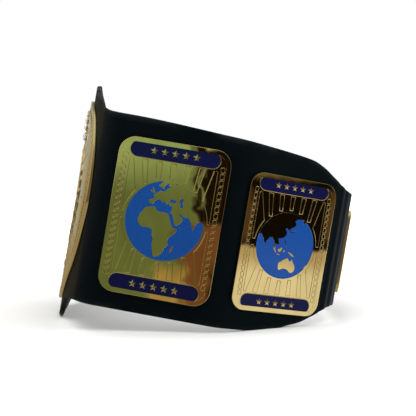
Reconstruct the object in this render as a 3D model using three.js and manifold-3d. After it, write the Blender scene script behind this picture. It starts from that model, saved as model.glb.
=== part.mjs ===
// A championship title belt, snapped shut to a loop and resting on a table, in millimetres, +Z up.
// Everything is drawn flat first, in three directions: along (round the strap, zero at the middle
// of the front, positive towards the wearer's left), up (across the strap) and out (away from the
// leather's outer face). The function bend carries a flat point onto the loop.
import * as THREE from "three";
import { mergeVertices } from "three/addons/utils/BufferGeometryUtils.js";
import Module from "manifold-3d";

const wasm = await Module();
wasm.setup();

// Leather strap
const LEATHER_THICKNESS = 4.5;
const LEATHER_BEVEL = 1.1;
const FRONT_TOP = 121.6;
const FRONT_FOOT = 115.8;
const FLANK_TOP = 90.3;
const FLANK_FOOT = 84.3;
const TAIL_TOP = 55;
const TAIL_FOOT = 54.5;
const CREASE_DEPTH = 1.3;
const REST_FLAT = 1.2;
const LAP_LENGTH = 34;

// Loop seen from above: each bend's length along the leather's outer face and its turn in degrees.
// The flank turn is shared by the corner and the side bend; where it splits follows from the closing.
const FRONT_ARC_LENGTH = 111.8;
const FRONT_ARC_TURN = 16.1;
const CORNER_LENGTH = 27.6;
const SIDE_BEND_LENGTH = 18.4;
const FLANK_TURN = 95.6;
const BACK_BEND_LENGTH = 38.9;
const BACK_BEND_TURN = 60;
const FRONT_DEPTH = 130;
const TAIL_CLEARANCE = 2.57;

// Clearances
const SEAT_GAP = 0.3;
const INLAY_GAP = 0.15;

// Plates: thickness of the field, and how far each relief stands over it or sinks into it
const PLATE_FIELD = 2.6;
const RIM_RISE = 0.3;
const RAIL_RISE = 0.4;
const LINE_RISE = 0.3;
const LAND_RISE = 0.3;
const POCKET_DEPTH = 0.9;
const RELIEF_ROOT = 0.3;
const ENAMEL_THICKNESS = 0.7;

// Borders, measured in from the plate's edge
const RIM_WIDTH = 4.4;
const CHAIN_INSET = 6.7;
const CHAIN_WIDTH = 3.6;
const LINE_WIDTH = 0.9;

const FRONT_PLATE = { width: 101.7, height: 140, corner: 15, up: 1.5, globe: 35.4 };
const REAR_PLATE = { width: 92, height: 124.4, corner: 13, up: -3.1, globe: 30.3 };
const TAIL_PLATE = { width: 62, height: 81, corner: 9, up: -2, globe: 19 };

// Shares of a side plate's own width and height
const BANNER_LENGTH_SHARE = 0.798;
const BANNER_HEIGHT_SHARE = 0.101;
const BANNER_CENTRE_SHARE = 0.427;
const RAY_COUNT = 5;
const RAY_PITCH_SHARE = 0.128;
const RAY_HEAD_SHARE = 0.05;
const RAY_TAPER = 0.65;
const RAY_MEETING_SHARE = 0.82;
const RAY_GAP = 1.7;
const CHAIN_END_SHARE = 0.3;
const CHAIN_TURN_SHARE = 0.6;

// Main plate
const MAIN_HALF_WIDTH = 111;
const MAIN_TOP = 104.5;
const MAIN_FOOT = 99.4;
const MAIN_GLOBE = 40;
const MAIN_GLOBE_UP = 2;
const MAIN_BANNER_HEIGHT = 13.5;
const CREST_BANNER = { length: 62, up: 57.5 };
const FOOT_BANNER = { length: 86, up: -61 };
const CREST_RADIUS = 43;
const CREST_CENTRE_UP = 48;
const CREST_STEP = 16;
const CRYSTAL_COUNT = 9;
const CRYSTAL_RADIUS = 4.1;
const CRYSTAL_HEIGHT = 2.6;
const CRYSTAL_GIRDLE_SHARE = 0.3;
const CRYSTAL_TABLE_SHARE = 0.58;
const SEAT_WALL = 0.8;
const SEAT_RISE = 0.5;
const LAUREL_RADIUS = 62;
const LAUREL_FIRST = -36;
const LAUREL_LAST = 48;
const LEAF_COUNT = 5;
const LEAF_OFFSET = 5;
const LEAF_SPREAD = 24;
const LEAF_LENGTH = 19;
const LEAF_WIDTH = 7;

// Fasteners
const STUD_RADIUS = 2;
const STUD_HEAD_RADIUS = 4.6;
const STUD_HEAD_THICKNESS = 1.3;
const STUD_INSET = 17;
const TAIL_STUD_INSET = 10.7;
const MAIN_STUD_ALONG = 65;
const MAIN_STUD_UP = 10.5;
const HOLE_CLEARANCE = 0.4;
const SNAP_RADIUS = 6.5;
const SNAP_RISE = 2.4;
const SNAP_CROWN_SHARE = 0.7;
const SNAP_ROWS = 3;
const SNAP_PITCH = 32;

// Fineness of the facets
const SECTION_STEP = 26;
const FRONT_STEPS = 3;
const ROUND_SIDES = 8;
const STUD_SIDES = 6;
const CORNER_STEPS = 3;
const GLOBE_SIDES = 24;
const TAIL_SIDES = 16;
const MAIN_OUTLINE_STEPS = 30;
const DEGREE = Math.PI / 180;

// How the strap's two edges fall towards the tails. along: share of the stretch, drop: share of the
// fall. The shoulders end where the front side plate starts, the tapers where the tail plate starts.
const TOP_SHOULDER = [
  { along: 0, drop: 0 },
  { along: 0.09, drop: 0.05 },
  { along: 0.2, drop: 0.165 },
  { along: 0.287, drop: 0.255 },
  { along: 0.373, drop: 0.36 },
  { along: 0.416, drop: 0.43 },
  { along: 0.459, drop: 0.52 },
  { along: 0.502, drop: 0.597 },
  { along: 0.545, drop: 0.672 },
  { along: 0.588, drop: 0.735 },
  { along: 0.631, drop: 0.787 },
  { along: 0.717, drop: 0.873 },
  { along: 0.803, drop: 0.932 },
  { along: 0.9, drop: 0.98 },
  { along: 1, drop: 1 },
];
const FOOT_SHOULDER = [
  { along: 0, drop: 0 },
  { along: 0.14, drop: 0.03 },
  { along: 0.22, drop: 0.1 },
  { along: 0.287, drop: 0.18 },
  { along: 0.33, drop: 0.26 },
  { along: 0.373, drop: 0.42 },
  { along: 0.416, drop: 0.6 },
  { along: 0.459, drop: 0.73 },
  { along: 0.502, drop: 0.815 },
  { along: 0.545, drop: 0.858 },
  { along: 0.631, drop: 0.905 },
  { along: 0.717, drop: 0.952 },
  { along: 0.8, drop: 0.99 },
  { along: 0.88, drop: 1 },
  { along: 1, drop: 1 },
];
const TOP_TAPER = [
  { along: 0, drop: 0 },
  { along: 0.39, drop: 0.14 },
  { along: 0.62, drop: 0.25 },
  { along: 0.73, drop: 0.335 },
  { along: 0.785, drop: 0.475 },
  { along: 0.84, drop: 0.7 },
  { along: 0.895, drop: 0.895 },
  { along: 0.95, drop: 0.99 },
  { along: 1, drop: 1 },
];
const FOOT_TAPER = [
  { along: 0, drop: 0 },
  { along: 0.57, drop: 0 },
  { along: 0.601, drop: 0.008 },
  { along: 0.632, drop: 0.051 },
  { along: 0.662, drop: 0.091 },
  { along: 0.7, drop: 0.155 },
  { along: 0.73, drop: 0.25 },
  { along: 0.785, drop: 0.4 },
  { along: 0.84, drop: 0.65 },
  { along: 0.895, drop: 0.89 },
  { along: 0.95, drop: 1 },
  { along: 1, drop: 1 },
];

// Soft upright creases where the strap turns round the back. along: share of the back bend's
// length, width: share of the same, depth: share of the deepest crease.
const CREASES = [
  { along: 0.16, width: 0.07, depth: 0.7 },
  { along: 0.42, width: 0.08, depth: 1 },
  { along: 0.68, width: 0.07, depth: 0.8 },
];

// Half of the main plate's outline, from the top round the side to the foot.
// across: share of the half width, up: share of the rise above or below the middle.
const MAIN_OUTLINE = [
  { across: 0, up: 1 },
  { across: 0.43, up: 0.94 },
  { across: 0.75, up: 0.785 },
  { across: 0.94, up: 0.5 },
  { across: 1, up: 0.07 },
  { across: 0.95, up: -0.21 },
  { across: 0.83, up: -0.51 },
  { across: 0.59, up: -0.745 },
  { across: 0.34, up: -0.93 },
  { across: 0, up: -1 },
];

// Coasts on the globes: across and up from the globe's middle, in hundredths of its radius.
const AFRICA = [
  [-55, 26], [-38, 31], [-28, 31], [-21, 21], [-8, 22], [6, 20], [12, 8], [23, -14], [35, -16],
  [30, -27], [17, -40], [18, -58], [9, -69], [7, -79], [-3, -91], [-14, -93], [-23, -62],
  [-21, -50], [-27, -38], [-27, -26], [-40, -22], [-55, -24], [-68, -9], [-65, 8],
];
const EUROPE_AND_WEST_ASIA = [
  [-19, 98], [-28, 86], [-15, 79], [-12, 88], [-5, 94], [1, 90], [-8, 76], [-19, 71], [-38, 61],
  [-36, 51], [-47, 49], [-44, 38], [-36, 38], [-26, 51], [-17, 51], [-4, 41], [2, 49], [5, 40],
  [15, 37], [12, 24], [21, 8], [28, -8], [40, 1], [46, 11], [36, 20], [35, 26], [46, 17],
  [59, 17], [67, 6], [74, -12], [81, 7], [90, 13], [99, 4], [130, 0], [120, 90], [60, 130],
  [-19, 125],
];
const BRITAIN = [[-42, 80], [-34, 66], [-45, 65]];
const MADAGASCAR = [[31, -57], [28, -76], [24, -73]];
const EAST_ASIA = [
  [-102, 24], [-92, 27], [-80, 18], [-70, -4], [-63, 13], [-50, 21], [-40, 11], [-33, -1],
  [-27, 0], [-22, 5], [-27, 18], [-11, 23], [-1, 35], [-9, 49], [0, 53], [5, 47], [12, 56],
  [24, 61], [27, 70], [21, 76], [30, 85], [52, 85], [53, 72], [60, 79], [73, 70], [110, 80],
  [60, 130], [-60, 130], [-130, 60], [-130, 24],
];
const JAPAN = [[8, 45], [15, 41], [26, 44], [30, 54], [22, 46]];
const BORNEO = [[-24, -14], [-9, -6], [-11, -18], [-20, -20]];
const SUMATRA = [[-42, -7], [-30, -15], [-27, -23], [-36, -16]];
const NEW_GUINEA = [[11, -17], [30, -22], [40, -31], [26, -28]];
const AUSTRALIA = [
  [-14, -52], [-3, -46], [14, -36], [26, -45], [31, -37], [36, -47], [46, -61], [43, -75],
  [32, -79], [16, -69], [2, -69], [-10, -75],
];
const NORTH_AMERICA = [
  [-66, 46], [-52, 66], [-30, 71], [8, 76], [18, 66], [7, 58], [10, 48], [24, 54], [34, 62],
  [48, 44], [36, 22], [24, 0], [22, -15], [15, -6], [2, -7], [-3, -22], [4, -32], [16, -28],
  [16, -38], [28, -47], [22, -52], [2, -40], [-16, -24], [-28, 2], [-38, 22], [-40, 34],
];
const GREENLAND = [[30, 88], [52, 80], [44, 64]];
const SOUTH_AMERICA = [
  [-34, 62], [-20, 70], [0, 66], [24, 50], [50, 32], [38, 4], [32, -12], [14, -32], [0, -52],
  [-8, -80], [-17, -82], [-16, -60], [-20, -20], [-36, 14], [-44, 32],
];

const WHOLE = { scale: 1, across: 0, up: 0 };
const FRONT_LEFT_LANDS = [AFRICA, EUROPE_AND_WEST_ASIA, BRITAIN, MADAGASCAR];
const REAR_LEFT_LANDS = [EAST_ASIA, JAPAN, BORNEO, SUMATRA, NEW_GUINEA, AUSTRALIA];
const FRONT_RIGHT_LANDS = [NORTH_AMERICA, GREENLAND];
const REAR_RIGHT_LANDS = [SOUTH_AMERICA];
const MAIN_NORTH = { scale: 0.72, across: -8, up: 32 };
const MAIN_SOUTH = { scale: 0.62, across: 22, up: -44 };

// Sizes that follow from the ones above
const ENAMEL_FLOOR = SEAT_GAP + PLATE_FIELD - POCKET_DEPTH;
const FIELD_TOP = SEAT_GAP + PLATE_FIELD;
const TUCK = LEATHER_THICKNESS + SEAT_GAP;
const FRONT_PLATE_START = FRONT_ARC_LENGTH + CORNER_LENGTH;
const FRONT_PLATE_END = FRONT_PLATE_START + FRONT_PLATE.width;
const REAR_PLATE_START = FRONT_PLATE_END + SIDE_BEND_LENGTH;
const REAR_PLATE_END = REAR_PLATE_START + REAR_PLATE.width;
const TAIL_PLATE_START = REAR_PLATE_END + BACK_BEND_LENGTH;
const TAIL_PLATE_END = TAIL_PLATE_START + TAIL_PLATE.width;

// Loop of the leather's outer face, as stretches of even bend, one side
function stretchesWith(cornerTurn) {
  return [
    { length: FRONT_ARC_LENGTH, turn: FRONT_ARC_TURN, steps: FRONT_STEPS },
    { length: CORNER_LENGTH, turn: cornerTurn, steps: 6 },
    { length: FRONT_PLATE.width, turn: 0, steps: 3 },
    { length: SIDE_BEND_LENGTH, turn: FLANK_TURN - cornerTurn, steps: 3 },
    { length: REAR_PLATE.width, turn: 0, steps: 3 },
    { length: BACK_BEND_LENGTH, turn: BACK_BEND_TURN, steps: 12 },
    { length: TAIL_PLATE.width, turn: 0, steps: 1 },
    {
      length: LAP_LENGTH / 2 + TAIL_CLEARANCE,
      turn: 180 - FRONT_ARC_TURN - FLANK_TURN - BACK_BEND_TURN,
      steps: 1,
    },
  ];
}

function stepAlong(place, length, turn) {
  const heading = place.heading + turn;
  const chord = Math.abs(turn) < 1e-9 ? length : 2 * length * Math.sin(turn / 2) / turn;
  const middle = place.heading + turn / 2;
  return {
    x: place.x + chord * Math.cos(middle),
    y: place.y + chord * Math.sin(middle),
    heading,
  };
}

function walkLoop(distance, stretches = STRETCHES) {
  let place = { x: 0, y: -FRONT_DEPTH, heading: 0 };
  let left = distance;
  for (const stretch of stretches) {
    const length = Math.min(left, stretch.length);
    place = stepAlong(place, length, stretch.turn * DEGREE * length / stretch.length);
    left -= length;
    if (left <= 0) break;
  }
  return place;
}

// The corner turns as far as it must for the two tails to meet at the middle of the back.
function closeLoop() {
  let low = 0;
  let high = FLANK_TURN;
  while (high - low > 1e-9) {
    const middle = (low + high) / 2;
    if (walkLoop(Infinity, stretchesWith(middle)).x > 0) low = middle;
    else high = middle;
  }
  return stretchesWith(low);
}

const STRETCHES = closeLoop();
const HALF_LOOP = STRETCHES.reduce((sum, stretch) => sum + stretch.length, 0);
const LAP_START = HALF_LOOP - LAP_LENGTH / 2;

function smoothShare(share) {
  const t = Math.min(1, Math.max(0, share));
  return t * t * (3 - 2 * t);
}

// Value of a table's column at a place along it, on a curve that never overshoots.
function readTable(rows, along) {
  const last = rows.length - 1;
  let k = 0;
  while (k < last - 1 && along > rows[k + 1].along) k += 1;
  const slope = (i) => (rows[i + 1].drop - rows[i].drop) / (rows[i + 1].along - rows[i].along);
  const tangent = (i) => {
    if (i === 0 || i === last) return 0;
    const before = slope(i - 1);
    const after = slope(i);
    return before * after <= 0 ? 0 : 2 * before * after / (before + after);
  };
  const span = rows[k + 1].along - rows[k].along;
  const t = Math.min(1, Math.max(0, (along - rows[k].along) / span));
  const a = rows[k].drop;
  const b = rows[k + 1].drop;
  return a + (b - a) * t * t * (3 - 2 * t)
    + span * (tangent(k) * t * (1 - t) * (1 - t) - tangent(k + 1) * t * t * (1 - t));
}

// Upper and lower edge of the strap
function strapEdges(along) {
  const distance = Math.min(Math.abs(along), HALF_LOOP);
  const shoulder = distance / FRONT_PLATE_START;
  const taper = (distance - FRONT_PLATE_START) / (TAIL_PLATE_START - FRONT_PLATE_START);
  const fall = (edge, flank, tail, shoulderRows, taperRows) => (
    edge - (edge - flank) * readTable(shoulderRows, shoulder) - (flank - tail) * readTable(taperRows, taper));
  return {
    top: fall(FRONT_TOP, FLANK_TOP, TAIL_TOP, TOP_SHOULDER, TOP_TAPER),
    bottom: -fall(FRONT_FOOT, FLANK_FOOT, TAIL_FOOT, FOOT_SHOULDER, FOOT_TAPER),
  };
}

// How far the strap's outer face lies inside the plain loop
function strapInset(along) {
  const back = (Math.abs(along) - REAR_PLATE_END) / BACK_BEND_LENGTH;
  let inset = along < 0 ? TUCK * smoothShare(back) : 0;
  for (const crease of CREASES) {
    inset += CREASE_DEPTH * crease.depth * Math.exp(-(((back - crease.along) / crease.width) ** 2));
  }
  return inset;
}

function stationAt(along) {
  const distance = Math.abs(along);
  const past = distance > HALF_LOOP;
  const place = walkLoop(past ? 2 * HALF_LOOP - distance : distance);
  const side = Math.sign(along) * (past ? -1 : 1) || 1;
  const normal = { x: side * Math.sin(place.heading), y: -Math.cos(place.heading) };
  const inset = strapInset(along);
  return {
    along,
    x: side * place.x - inset * normal.x,
    y: place.y - inset * normal.y,
    normal,
  };
}

// Stations round the whole strap, from one tail's end to the other
function makeStations() {
  const distances = [];
  let start = 0;
  for (const stretch of STRETCHES) {
    for (let i = 0; i < stretch.steps; i += 1) {
      distances.push(start + stretch.length * i / stretch.steps);
    }
    start += stretch.length;
  }
  distances.push(LAP_START, HALF_LOOP, HALF_LOOP + LAP_LENGTH / 2);
  const back = distances.slice(1).reverse().map((distance) => -distance);
  return [...back, ...distances].map(stationAt);
}

const STATIONS = makeStations();

function bend(along, up, out) {
  let k = 0;
  while (k < STATIONS.length - 2 && along > STATIONS[k + 1].along) k += 1;
  const a = STATIONS[k];
  const b = STATIONS[k + 1];
  const t = (along - a.along) / (b.along - a.along);
  const mix = (from, to) => from + (to - from) * t;
  return new THREE.Vector3(
    mix(a.x + out * a.normal.x, b.x + out * b.normal.x),
    mix(a.y + out * a.normal.y, b.y + out * b.normal.y),
    up,
  );
}

// The table touches the front's lowest edge and both flanks, so the closed belt leans back.
function findRest() {
  const tip = { y: -FRONT_DEPTH, up: REST_FLAT - FRONT_FOOT };
  let slope = Infinity;
  for (const along of strapPlaces()) {
    const { y } = bend(along, 0, 0);
    if (y < 0) continue;
    const up = strapEdges(along).bottom + REST_FLAT;
    slope = Math.min(slope, (up - tip.up) / (y - tip.y));
  }
  return { tip, slope, lean: Math.atan(slope) };
}

const REST = findRest();

function tableUp(y) {
  return REST.tip.up + REST.slope * (y - REST.tip.y);
}

// Closed solids from three.js geometry
function cleanTriangles(geometry) {
  const bare = geometry.clone();
  for (const name of Object.keys(bare.attributes)) {
    if (name !== "position") bare.deleteAttribute(name);
  }
  const merged = mergeVertices(bare, 1e-4);
  const index = merged.index.array;
  const kept = [];
  for (let i = 0; i < index.length; i += 3) {
    const [a, b, c] = [index[i], index[i + 1], index[i + 2]];
    if (a !== b && b !== c && c !== a) kept.push(a, b, c);
  }
  return { positions: merged.attributes.position.array, triangles: kept };
}

function enclosedVolume(positions, triangles) {
  let volume = 0;
  const a = new THREE.Vector3();
  const b = new THREE.Vector3();
  const c = new THREE.Vector3();
  for (let i = 0; i < triangles.length; i += 3) {
    a.fromArray(positions, 3 * triangles[i]);
    b.fromArray(positions, 3 * triangles[i + 1]);
    c.fromArray(positions, 3 * triangles[i + 2]);
    volume += a.dot(b.cross(c)) / 6;
  }
  return volume;
}

function solidFrom(geometry) {
  const { positions, triangles } = cleanTriangles(geometry);
  const outward = enclosedVolume(positions, triangles) > 0;
  const faces = outward ? triangles : triangles.toReversed();
  return new wasm.Manifold(new wasm.Mesh({
    numProp: 3,
    vertProperties: new Float32Array(positions),
    triVerts: new Uint32Array(faces),
  }));
}

function geometryFrom(solid) {
  const mesh = solid.getMesh();
  const geometry = new THREE.BufferGeometry();
  geometry.setAttribute("position", new THREE.BufferAttribute(mesh.vertProperties, 3));
  geometry.setIndex(new THREE.BufferAttribute(mesh.triVerts, 1));
  return geometry;
}

function joinAll(solids) {
  return solids.reduce((sum, solid) => sum.add(solid));
}

// A flat outline raised from low to high
function slab(points, low, high, holes = []) {
  const shape = new THREE.Shape(points);
  shape.holes = holes.map((hole) => new THREE.Path(hole));
  const geometry = new THREE.ExtrudeGeometry(shape, { depth: high - low, bevelEnabled: false });
  geometry.translate(0, 0, low);
  return solidFrom(geometry);
}

// Round piece about a line that points out, from rows of radius and height
function turned(rows, along, up, sides = ROUND_SIDES) {
  const profile = rows.map(([radius, out]) => new THREE.Vector2(radius, out));
  const geometry = new THREE.LatheGeometry(profile, sides);
  geometry.rotateX(Math.PI / 2);
  geometry.translate(along, up, 0);
  return solidFrom(geometry);
}

function roundedRectangle(width, height, radius, along = 0, up = 0) {
  const points = [];
  const corners = [[1, 1, 0], [-1, 1, 90], [-1, -1, 180], [1, -1, 270]];
  for (const [sideAcross, sideUp, first] of corners) {
    for (let i = 0; i <= CORNER_STEPS; i += 1) {
      const angle = (first + 90 * i / CORNER_STEPS) * DEGREE;
      points.push(new THREE.Vector2(
        along + sideAcross * (width / 2 - radius) + radius * Math.cos(angle),
        up + sideUp * (height / 2 - radius) + radius * Math.sin(angle),
      ));
    }
  }
  return points;
}

function banner(length, height, along, up) {
  const steps = 2 * CORNER_STEPS;
  const points = [];
  for (const side of [1, -1]) {
    for (let i = 0; i <= steps; i += 1) {
      const angle = (180 * i / steps - side * 90) * DEGREE;
      points.push(new THREE.Vector2(
        along + side * (length - height) / 2 + height / 2 * Math.cos(angle),
        up + height / 2 * Math.sin(angle),
      ));
    }
  }
  return points;
}

function circle(radius, along, up, sides = GLOBE_SIDES) {
  return Array.from({ length: sides }, (_, i) => new THREE.Vector2(
    along + radius * Math.cos(2 * Math.PI * i / sides),
    up + radius * Math.sin(2 * Math.PI * i / sides),
  ));
}

// The same outline moved outwards by a distance, or inwards where it is negative
function grow(points, distance) {
  const sign = THREE.ShapeUtils.isClockWise(points) ? -1 : 1;
  return points.map((point, i) => {
    const before = points[(i + points.length - 1) % points.length];
    const after = points[(i + 1) % points.length];
    const first = point.clone().sub(before).normalize();
    const second = after.clone().sub(point).normalize();
    const normal = new THREE.Vector2(first.y + second.y, -first.x - second.x).normalize();
    const stretch = Math.max(0.5, normal.x * first.y - normal.y * first.x);
    return point.clone().addScaledVector(normal, sign * distance / stretch);
  });
}

// A ridge of even width along an open line
function ribbon(points, width) {
  const sideOf = (i) => {
    const before = points[Math.max(0, i - 1)];
    const after = points[Math.min(points.length - 1, i + 1)];
    const direction = after.clone().sub(before).normalize();
    return new THREE.Vector2(-direction.y, direction.x).multiplyScalar(width / 2);
  };
  const left = points.map((point, i) => point.clone().add(sideOf(i)));
  const right = points.map((point, i) => point.clone().sub(sideOf(i)));
  return [...left, ...right.reverse()];
}

// Cuts a mesh's triangles where they cross the strap's stations, so that it can follow the bend.
function cutAtStations(geometry) {
  const snap = 0.02;
  const indexed = cleanTriangles(geometry);
  let triangles = [];
  for (let i = 0; i < indexed.triangles.length; i += 3) {
    triangles.push([0, 1, 2].map((j) => (
      new THREE.Vector3().fromArray(indexed.positions, 3 * indexed.triangles[i + j]))));
  }
  for (const { along } of STATIONS) {
    const pieces = [];
    for (const triangle of triangles) {
      pieces.push(...cutTriangle(triangle, along, snap));
    }
    triangles = pieces;
  }
  const cut = new THREE.BufferGeometry();
  const flat = triangles.flat().flatMap((corner) => corner.toArray());
  cut.setAttribute("position", new THREE.Float32BufferAttribute(flat, 3));
  return cut;
}

function cutTriangle(triangle, along, snap) {
  const sides = triangle.map((corner) => (
    Math.abs(corner.x - along) < snap ? 0 : Math.sign(corner.x - along)));
  if (!sides.includes(1) || !sides.includes(-1)) return [triangle];
  const halves = { left: [], right: [] };
  for (let i = 0; i < 3; i += 1) {
    const here = triangle[i];
    const next = triangle[(i + 1) % 3];
    if (sides[i] <= 0) halves.left.push(here);
    if (sides[i] >= 0) halves.right.push(here);
    if (sides[i] * sides[(i + 1) % 3] < 0) {
      const [low, high] = here.x < next.x ? [here, next] : [next, here];
      const crossing = low.clone().lerp(high, (along - low.x) / (high.x - low.x));
      crossing.x = along;
      halves.left.push(crossing);
      halves.right.push(crossing);
    }
  }
  return [halves.left, halves.right].flatMap((corners) => (
    corners.slice(2).map((corner, i) => [corners[0], corners[i + 1], corner])));
}

function bentGeometry(geometry) {
  const bent = geometry.clone();
  const position = bent.attributes.position;
  for (let i = 0; i < position.count; i += 1) {
    const point = bend(position.getX(i), position.getY(i), position.getZ(i));
    position.setXYZ(i, point.x, point.y, point.z);
  }
  return bent;
}

// Finishes
const leather = new THREE.MeshStandardMaterial({ color: 0x17181b, roughness: 0.45 });
const gold = new THREE.MeshStandardMaterial({ color: 0xd9b45a, roughness: 0.22, metalness: 1 });
const seaBlue = new THREE.MeshStandardMaterial({ color: 0x1c4aa0, roughness: 0.15 });
const navy = new THREE.MeshStandardMaterial({ color: 0x10123a, roughness: 0.15 });
const crystal = new THREE.MeshStandardMaterial({ color: 0xe8eef2, roughness: 0.02 });
const steel = new THREE.MeshStandardMaterial({ color: 0x9a9ba0, roughness: 0.3, metalness: 1 });

const belt = new THREE.Group();

// A flat solid carried onto the loop. Where it is wide and crosses a bend, it is cut there first.
function bent(solid, crossesBends = false) {
  const flat = geometryFrom(solid);
  return solidFrom(bentGeometry(crossesBends ? cutAtStations(flat) : flat));
}

function addPiece(name, solid, material) {
  const geometry = geometryFrom(solid);
  geometry.computeVertexNormals();
  const mesh = new THREE.Mesh(geometry, material);
  mesh.name = name;
  belt.add(mesh);
}

// A stud under a plate: a post through the leather, closed by a flat head on the inside
function stud(along, up) {
  const head = -LEATHER_THICKNESS - SEAT_GAP;
  return turned([
    [0, head - STUD_HEAD_THICKNESS],
    [STUD_HEAD_RADIUS, head - STUD_HEAD_THICKNESS],
    [STUD_HEAD_RADIUS, head],
    [STUD_RADIUS, head],
    [STUD_RADIUS, SEAT_GAP + PLATE_FIELD / 2],
    [0, SEAT_GAP + PLATE_FIELD / 2],
  ], along, up, STUD_SIDES);
}

const strapHoles = [];

function addHole(along, up, radius) {
  const low = -LEATHER_THICKNESS - 1;
  const rows = [[0, low], [radius, low], [radius, 1], [0, 1]];
  strapHoles.push(bent(turned(rows, along, up, STUD_SIDES)));
}

function studSet(places) {
  for (const [along, up] of places) addHole(along, up, STUD_RADIUS + HOLE_CLEARANCE);
  return joinAll(places.map(([along, up]) => stud(along, up)));
}

// Land and sea of one globe
function globeOutlines(lands, radius, along, up, fit = WHOLE) {
  return lands.map((coast) => coast.map(([across, rise]) => new THREE.Vector2(
    along + radius * (fit.across + fit.scale * across) / 100,
    up + radius * (fit.up + fit.scale * rise) / 100,
  )));
}

function globePair(outlines, radius, along, up) {
  const landTop = FIELD_TOP + LAND_RISE;
  const land = joinAll(outlines.map((outline) => slab(outline, ENAMEL_FLOOR - RELIEF_ROOT, landTop)));
  const shores = joinAll(outlines.map((outline) => (
    slab(grow(outline, INLAY_GAP), ENAMEL_FLOOR - 1, FIELD_TOP + 1))));
  const seaLow = ENAMEL_FLOOR + INLAY_GAP;
  const sea = slab(circle(radius - INLAY_GAP, along, up), seaLow, seaLow + ENAMEL_THICKNESS);
  return {
    hollow: slab(circle(radius, along, up), ENAMEL_FLOOR, FIELD_TOP + 1),
    land: land.intersect(slab(circle(radius + RELIEF_ROOT, along, up), 0, landTop)),
    sea: sea.subtract(shores),
  };
}

function bannerPair(length, height, along, up) {
  const outline = banner(length, height, along, up);
  const low = ENAMEL_FLOOR + INLAY_GAP;
  return {
    hollow: slab(outline, ENAMEL_FLOOR, FIELD_TOP + 2),
    enamel: slab(grow(outline, -INLAY_GAP), low, low + ENAMEL_THICKNESS),
  };
}

// Side plates: rim, chain rails, two banners, rays, and a globe between them
function sidePlate(name, size, lands, along) {
  const { width, height, corner, up, globe } = size;
  const outline = roundedRectangle(width, height, corner, along, up);
  const rimInner = grow(outline, -RIM_WIDTH);
  const bannerHeight = height * BANNER_HEIGHT_SHARE;
  const bannerLength = width * BANNER_LENGTH_SHARE;
  const bannerUp = height * BANNER_CENTRE_SHARE;
  const railTop = FIELD_TOP + RAIL_RISE;
  const lineTop = FIELD_TOP + LINE_RISE;
  const lineEnd = bannerUp - bannerHeight / 2 - LINE_WIDTH;
  const bed = FIELD_TOP - RELIEF_ROOT;
  const raised = [slab(outline, SEAT_GAP, FIELD_TOP + RIM_RISE, [rimInner])];

  for (const side of [-1, 1]) {
    const chain = side * (width / 2 - CHAIN_INSET);
    const bannerEnd = side * (bannerLength / 2 + CHAIN_WIDTH / 4);
    const chainLine = [
      [bannerEnd, -bannerUp - bannerHeight * CHAIN_END_SHARE],
      [chain, bannerHeight * CHAIN_TURN_SHARE - bannerUp],
      [chain, bannerUp - bannerHeight * CHAIN_TURN_SHARE],
      [bannerEnd, bannerUp + bannerHeight * CHAIN_END_SHARE],
    ].map(([across, rise]) => new THREE.Vector2(along + across, up + rise));
    raised.push(slab(ribbon(chainLine, CHAIN_WIDTH), bed, railTop));
  }
  for (const half of [-1, 1]) raised.push(...rays(size, along, half, lineEnd, bed, lineTop));

  const world = globePair(globeOutlines(lands, globe, along, up), globe, along, up);
  const banners = [1, -1].map((half) => (
    bannerPair(bannerLength, bannerHeight, along, up + half * bannerUp)));
  const studs = studSet([1, -1].map((half) => [along, up + half * (height / 2 - STUD_INSET)]));
  let plate = joinAll([slab(outline, SEAT_GAP, FIELD_TOP), ...raised]);
  for (const pocket of [world, ...banners]) plate = plate.subtract(pocket.hollow);
  addPiece(`${name}_plate`, bent(joinAll([plate, world.land, studs])), gold);
  addPiece(`${name}_globe_enamel`, bent(world.sea), seaBlue);
  addPiece(`${name}_upper_banner_enamel`, bent(banners[0].enamel), navy);
  addPiece(`${name}_lower_banner_enamel`, bent(banners[1].enamel), navy);
}

// Bars between a banner and the globe, which narrow towards a point beyond the globe
function rays(size, along, half, lineEnd, bed, top) {
  const meeting = -size.height * RAY_MEETING_SHARE;
  const reach = size.globe + RAY_GAP;
  const bars = [];
  for (let i = 0; i < RAY_COUNT; i += 1) {
    const head = (i - (RAY_COUNT - 1) / 2) * RAY_PITCH_SHARE * size.width;
    const slope = head / (lineEnd - meeting);
    const rootUp = Math.sqrt(reach * reach - head * head);
    const root = head - slope * (lineEnd - rootUp);
    const wide = RAY_HEAD_SHARE * size.width / 2;
    const narrow = wide * RAY_TAPER;
    const headUp = lineEnd - LINE_WIDTH;
    const corners = [
      [head - wide, headUp], [head + wide, headUp], [root + narrow, rootUp], [root - narrow, rootUp],
    ].map(([across, rise]) => new THREE.Vector2(along + across, size.up + half * rise));
    bars.push(slab(corners, bed, top));
  }
  return bars;
}

// Main plate
function mainOutline() {
  const half = MAIN_OUTLINE.map(({ across, up }) => (
    new THREE.Vector3(across * MAIN_HALF_WIDTH, up * (up > 0 ? MAIN_TOP : MAIN_FOOT), 0)));
  const mirrored = half.slice(1, -1).reverse().map(({ x, y }) => new THREE.Vector3(-x, y, 0));
  const curve = new THREE.CatmullRomCurve3([...half, ...mirrored], true, "centripetal");
  const points = curve.getSpacedPoints(MAIN_OUTLINE_STEPS).slice(1);
  return points.reverse().map(({ x, y }) => new THREE.Vector2(x, y));
}

function crestPlaces() {
  return Array.from({ length: CRYSTAL_COUNT }, (_, i) => {
    const angle = (i - (CRYSTAL_COUNT - 1) / 2) * CREST_STEP * DEGREE;
    return [CREST_RADIUS * Math.sin(angle), CREST_CENTRE_UP + CREST_RADIUS * Math.cos(angle)];
  });
}

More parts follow.
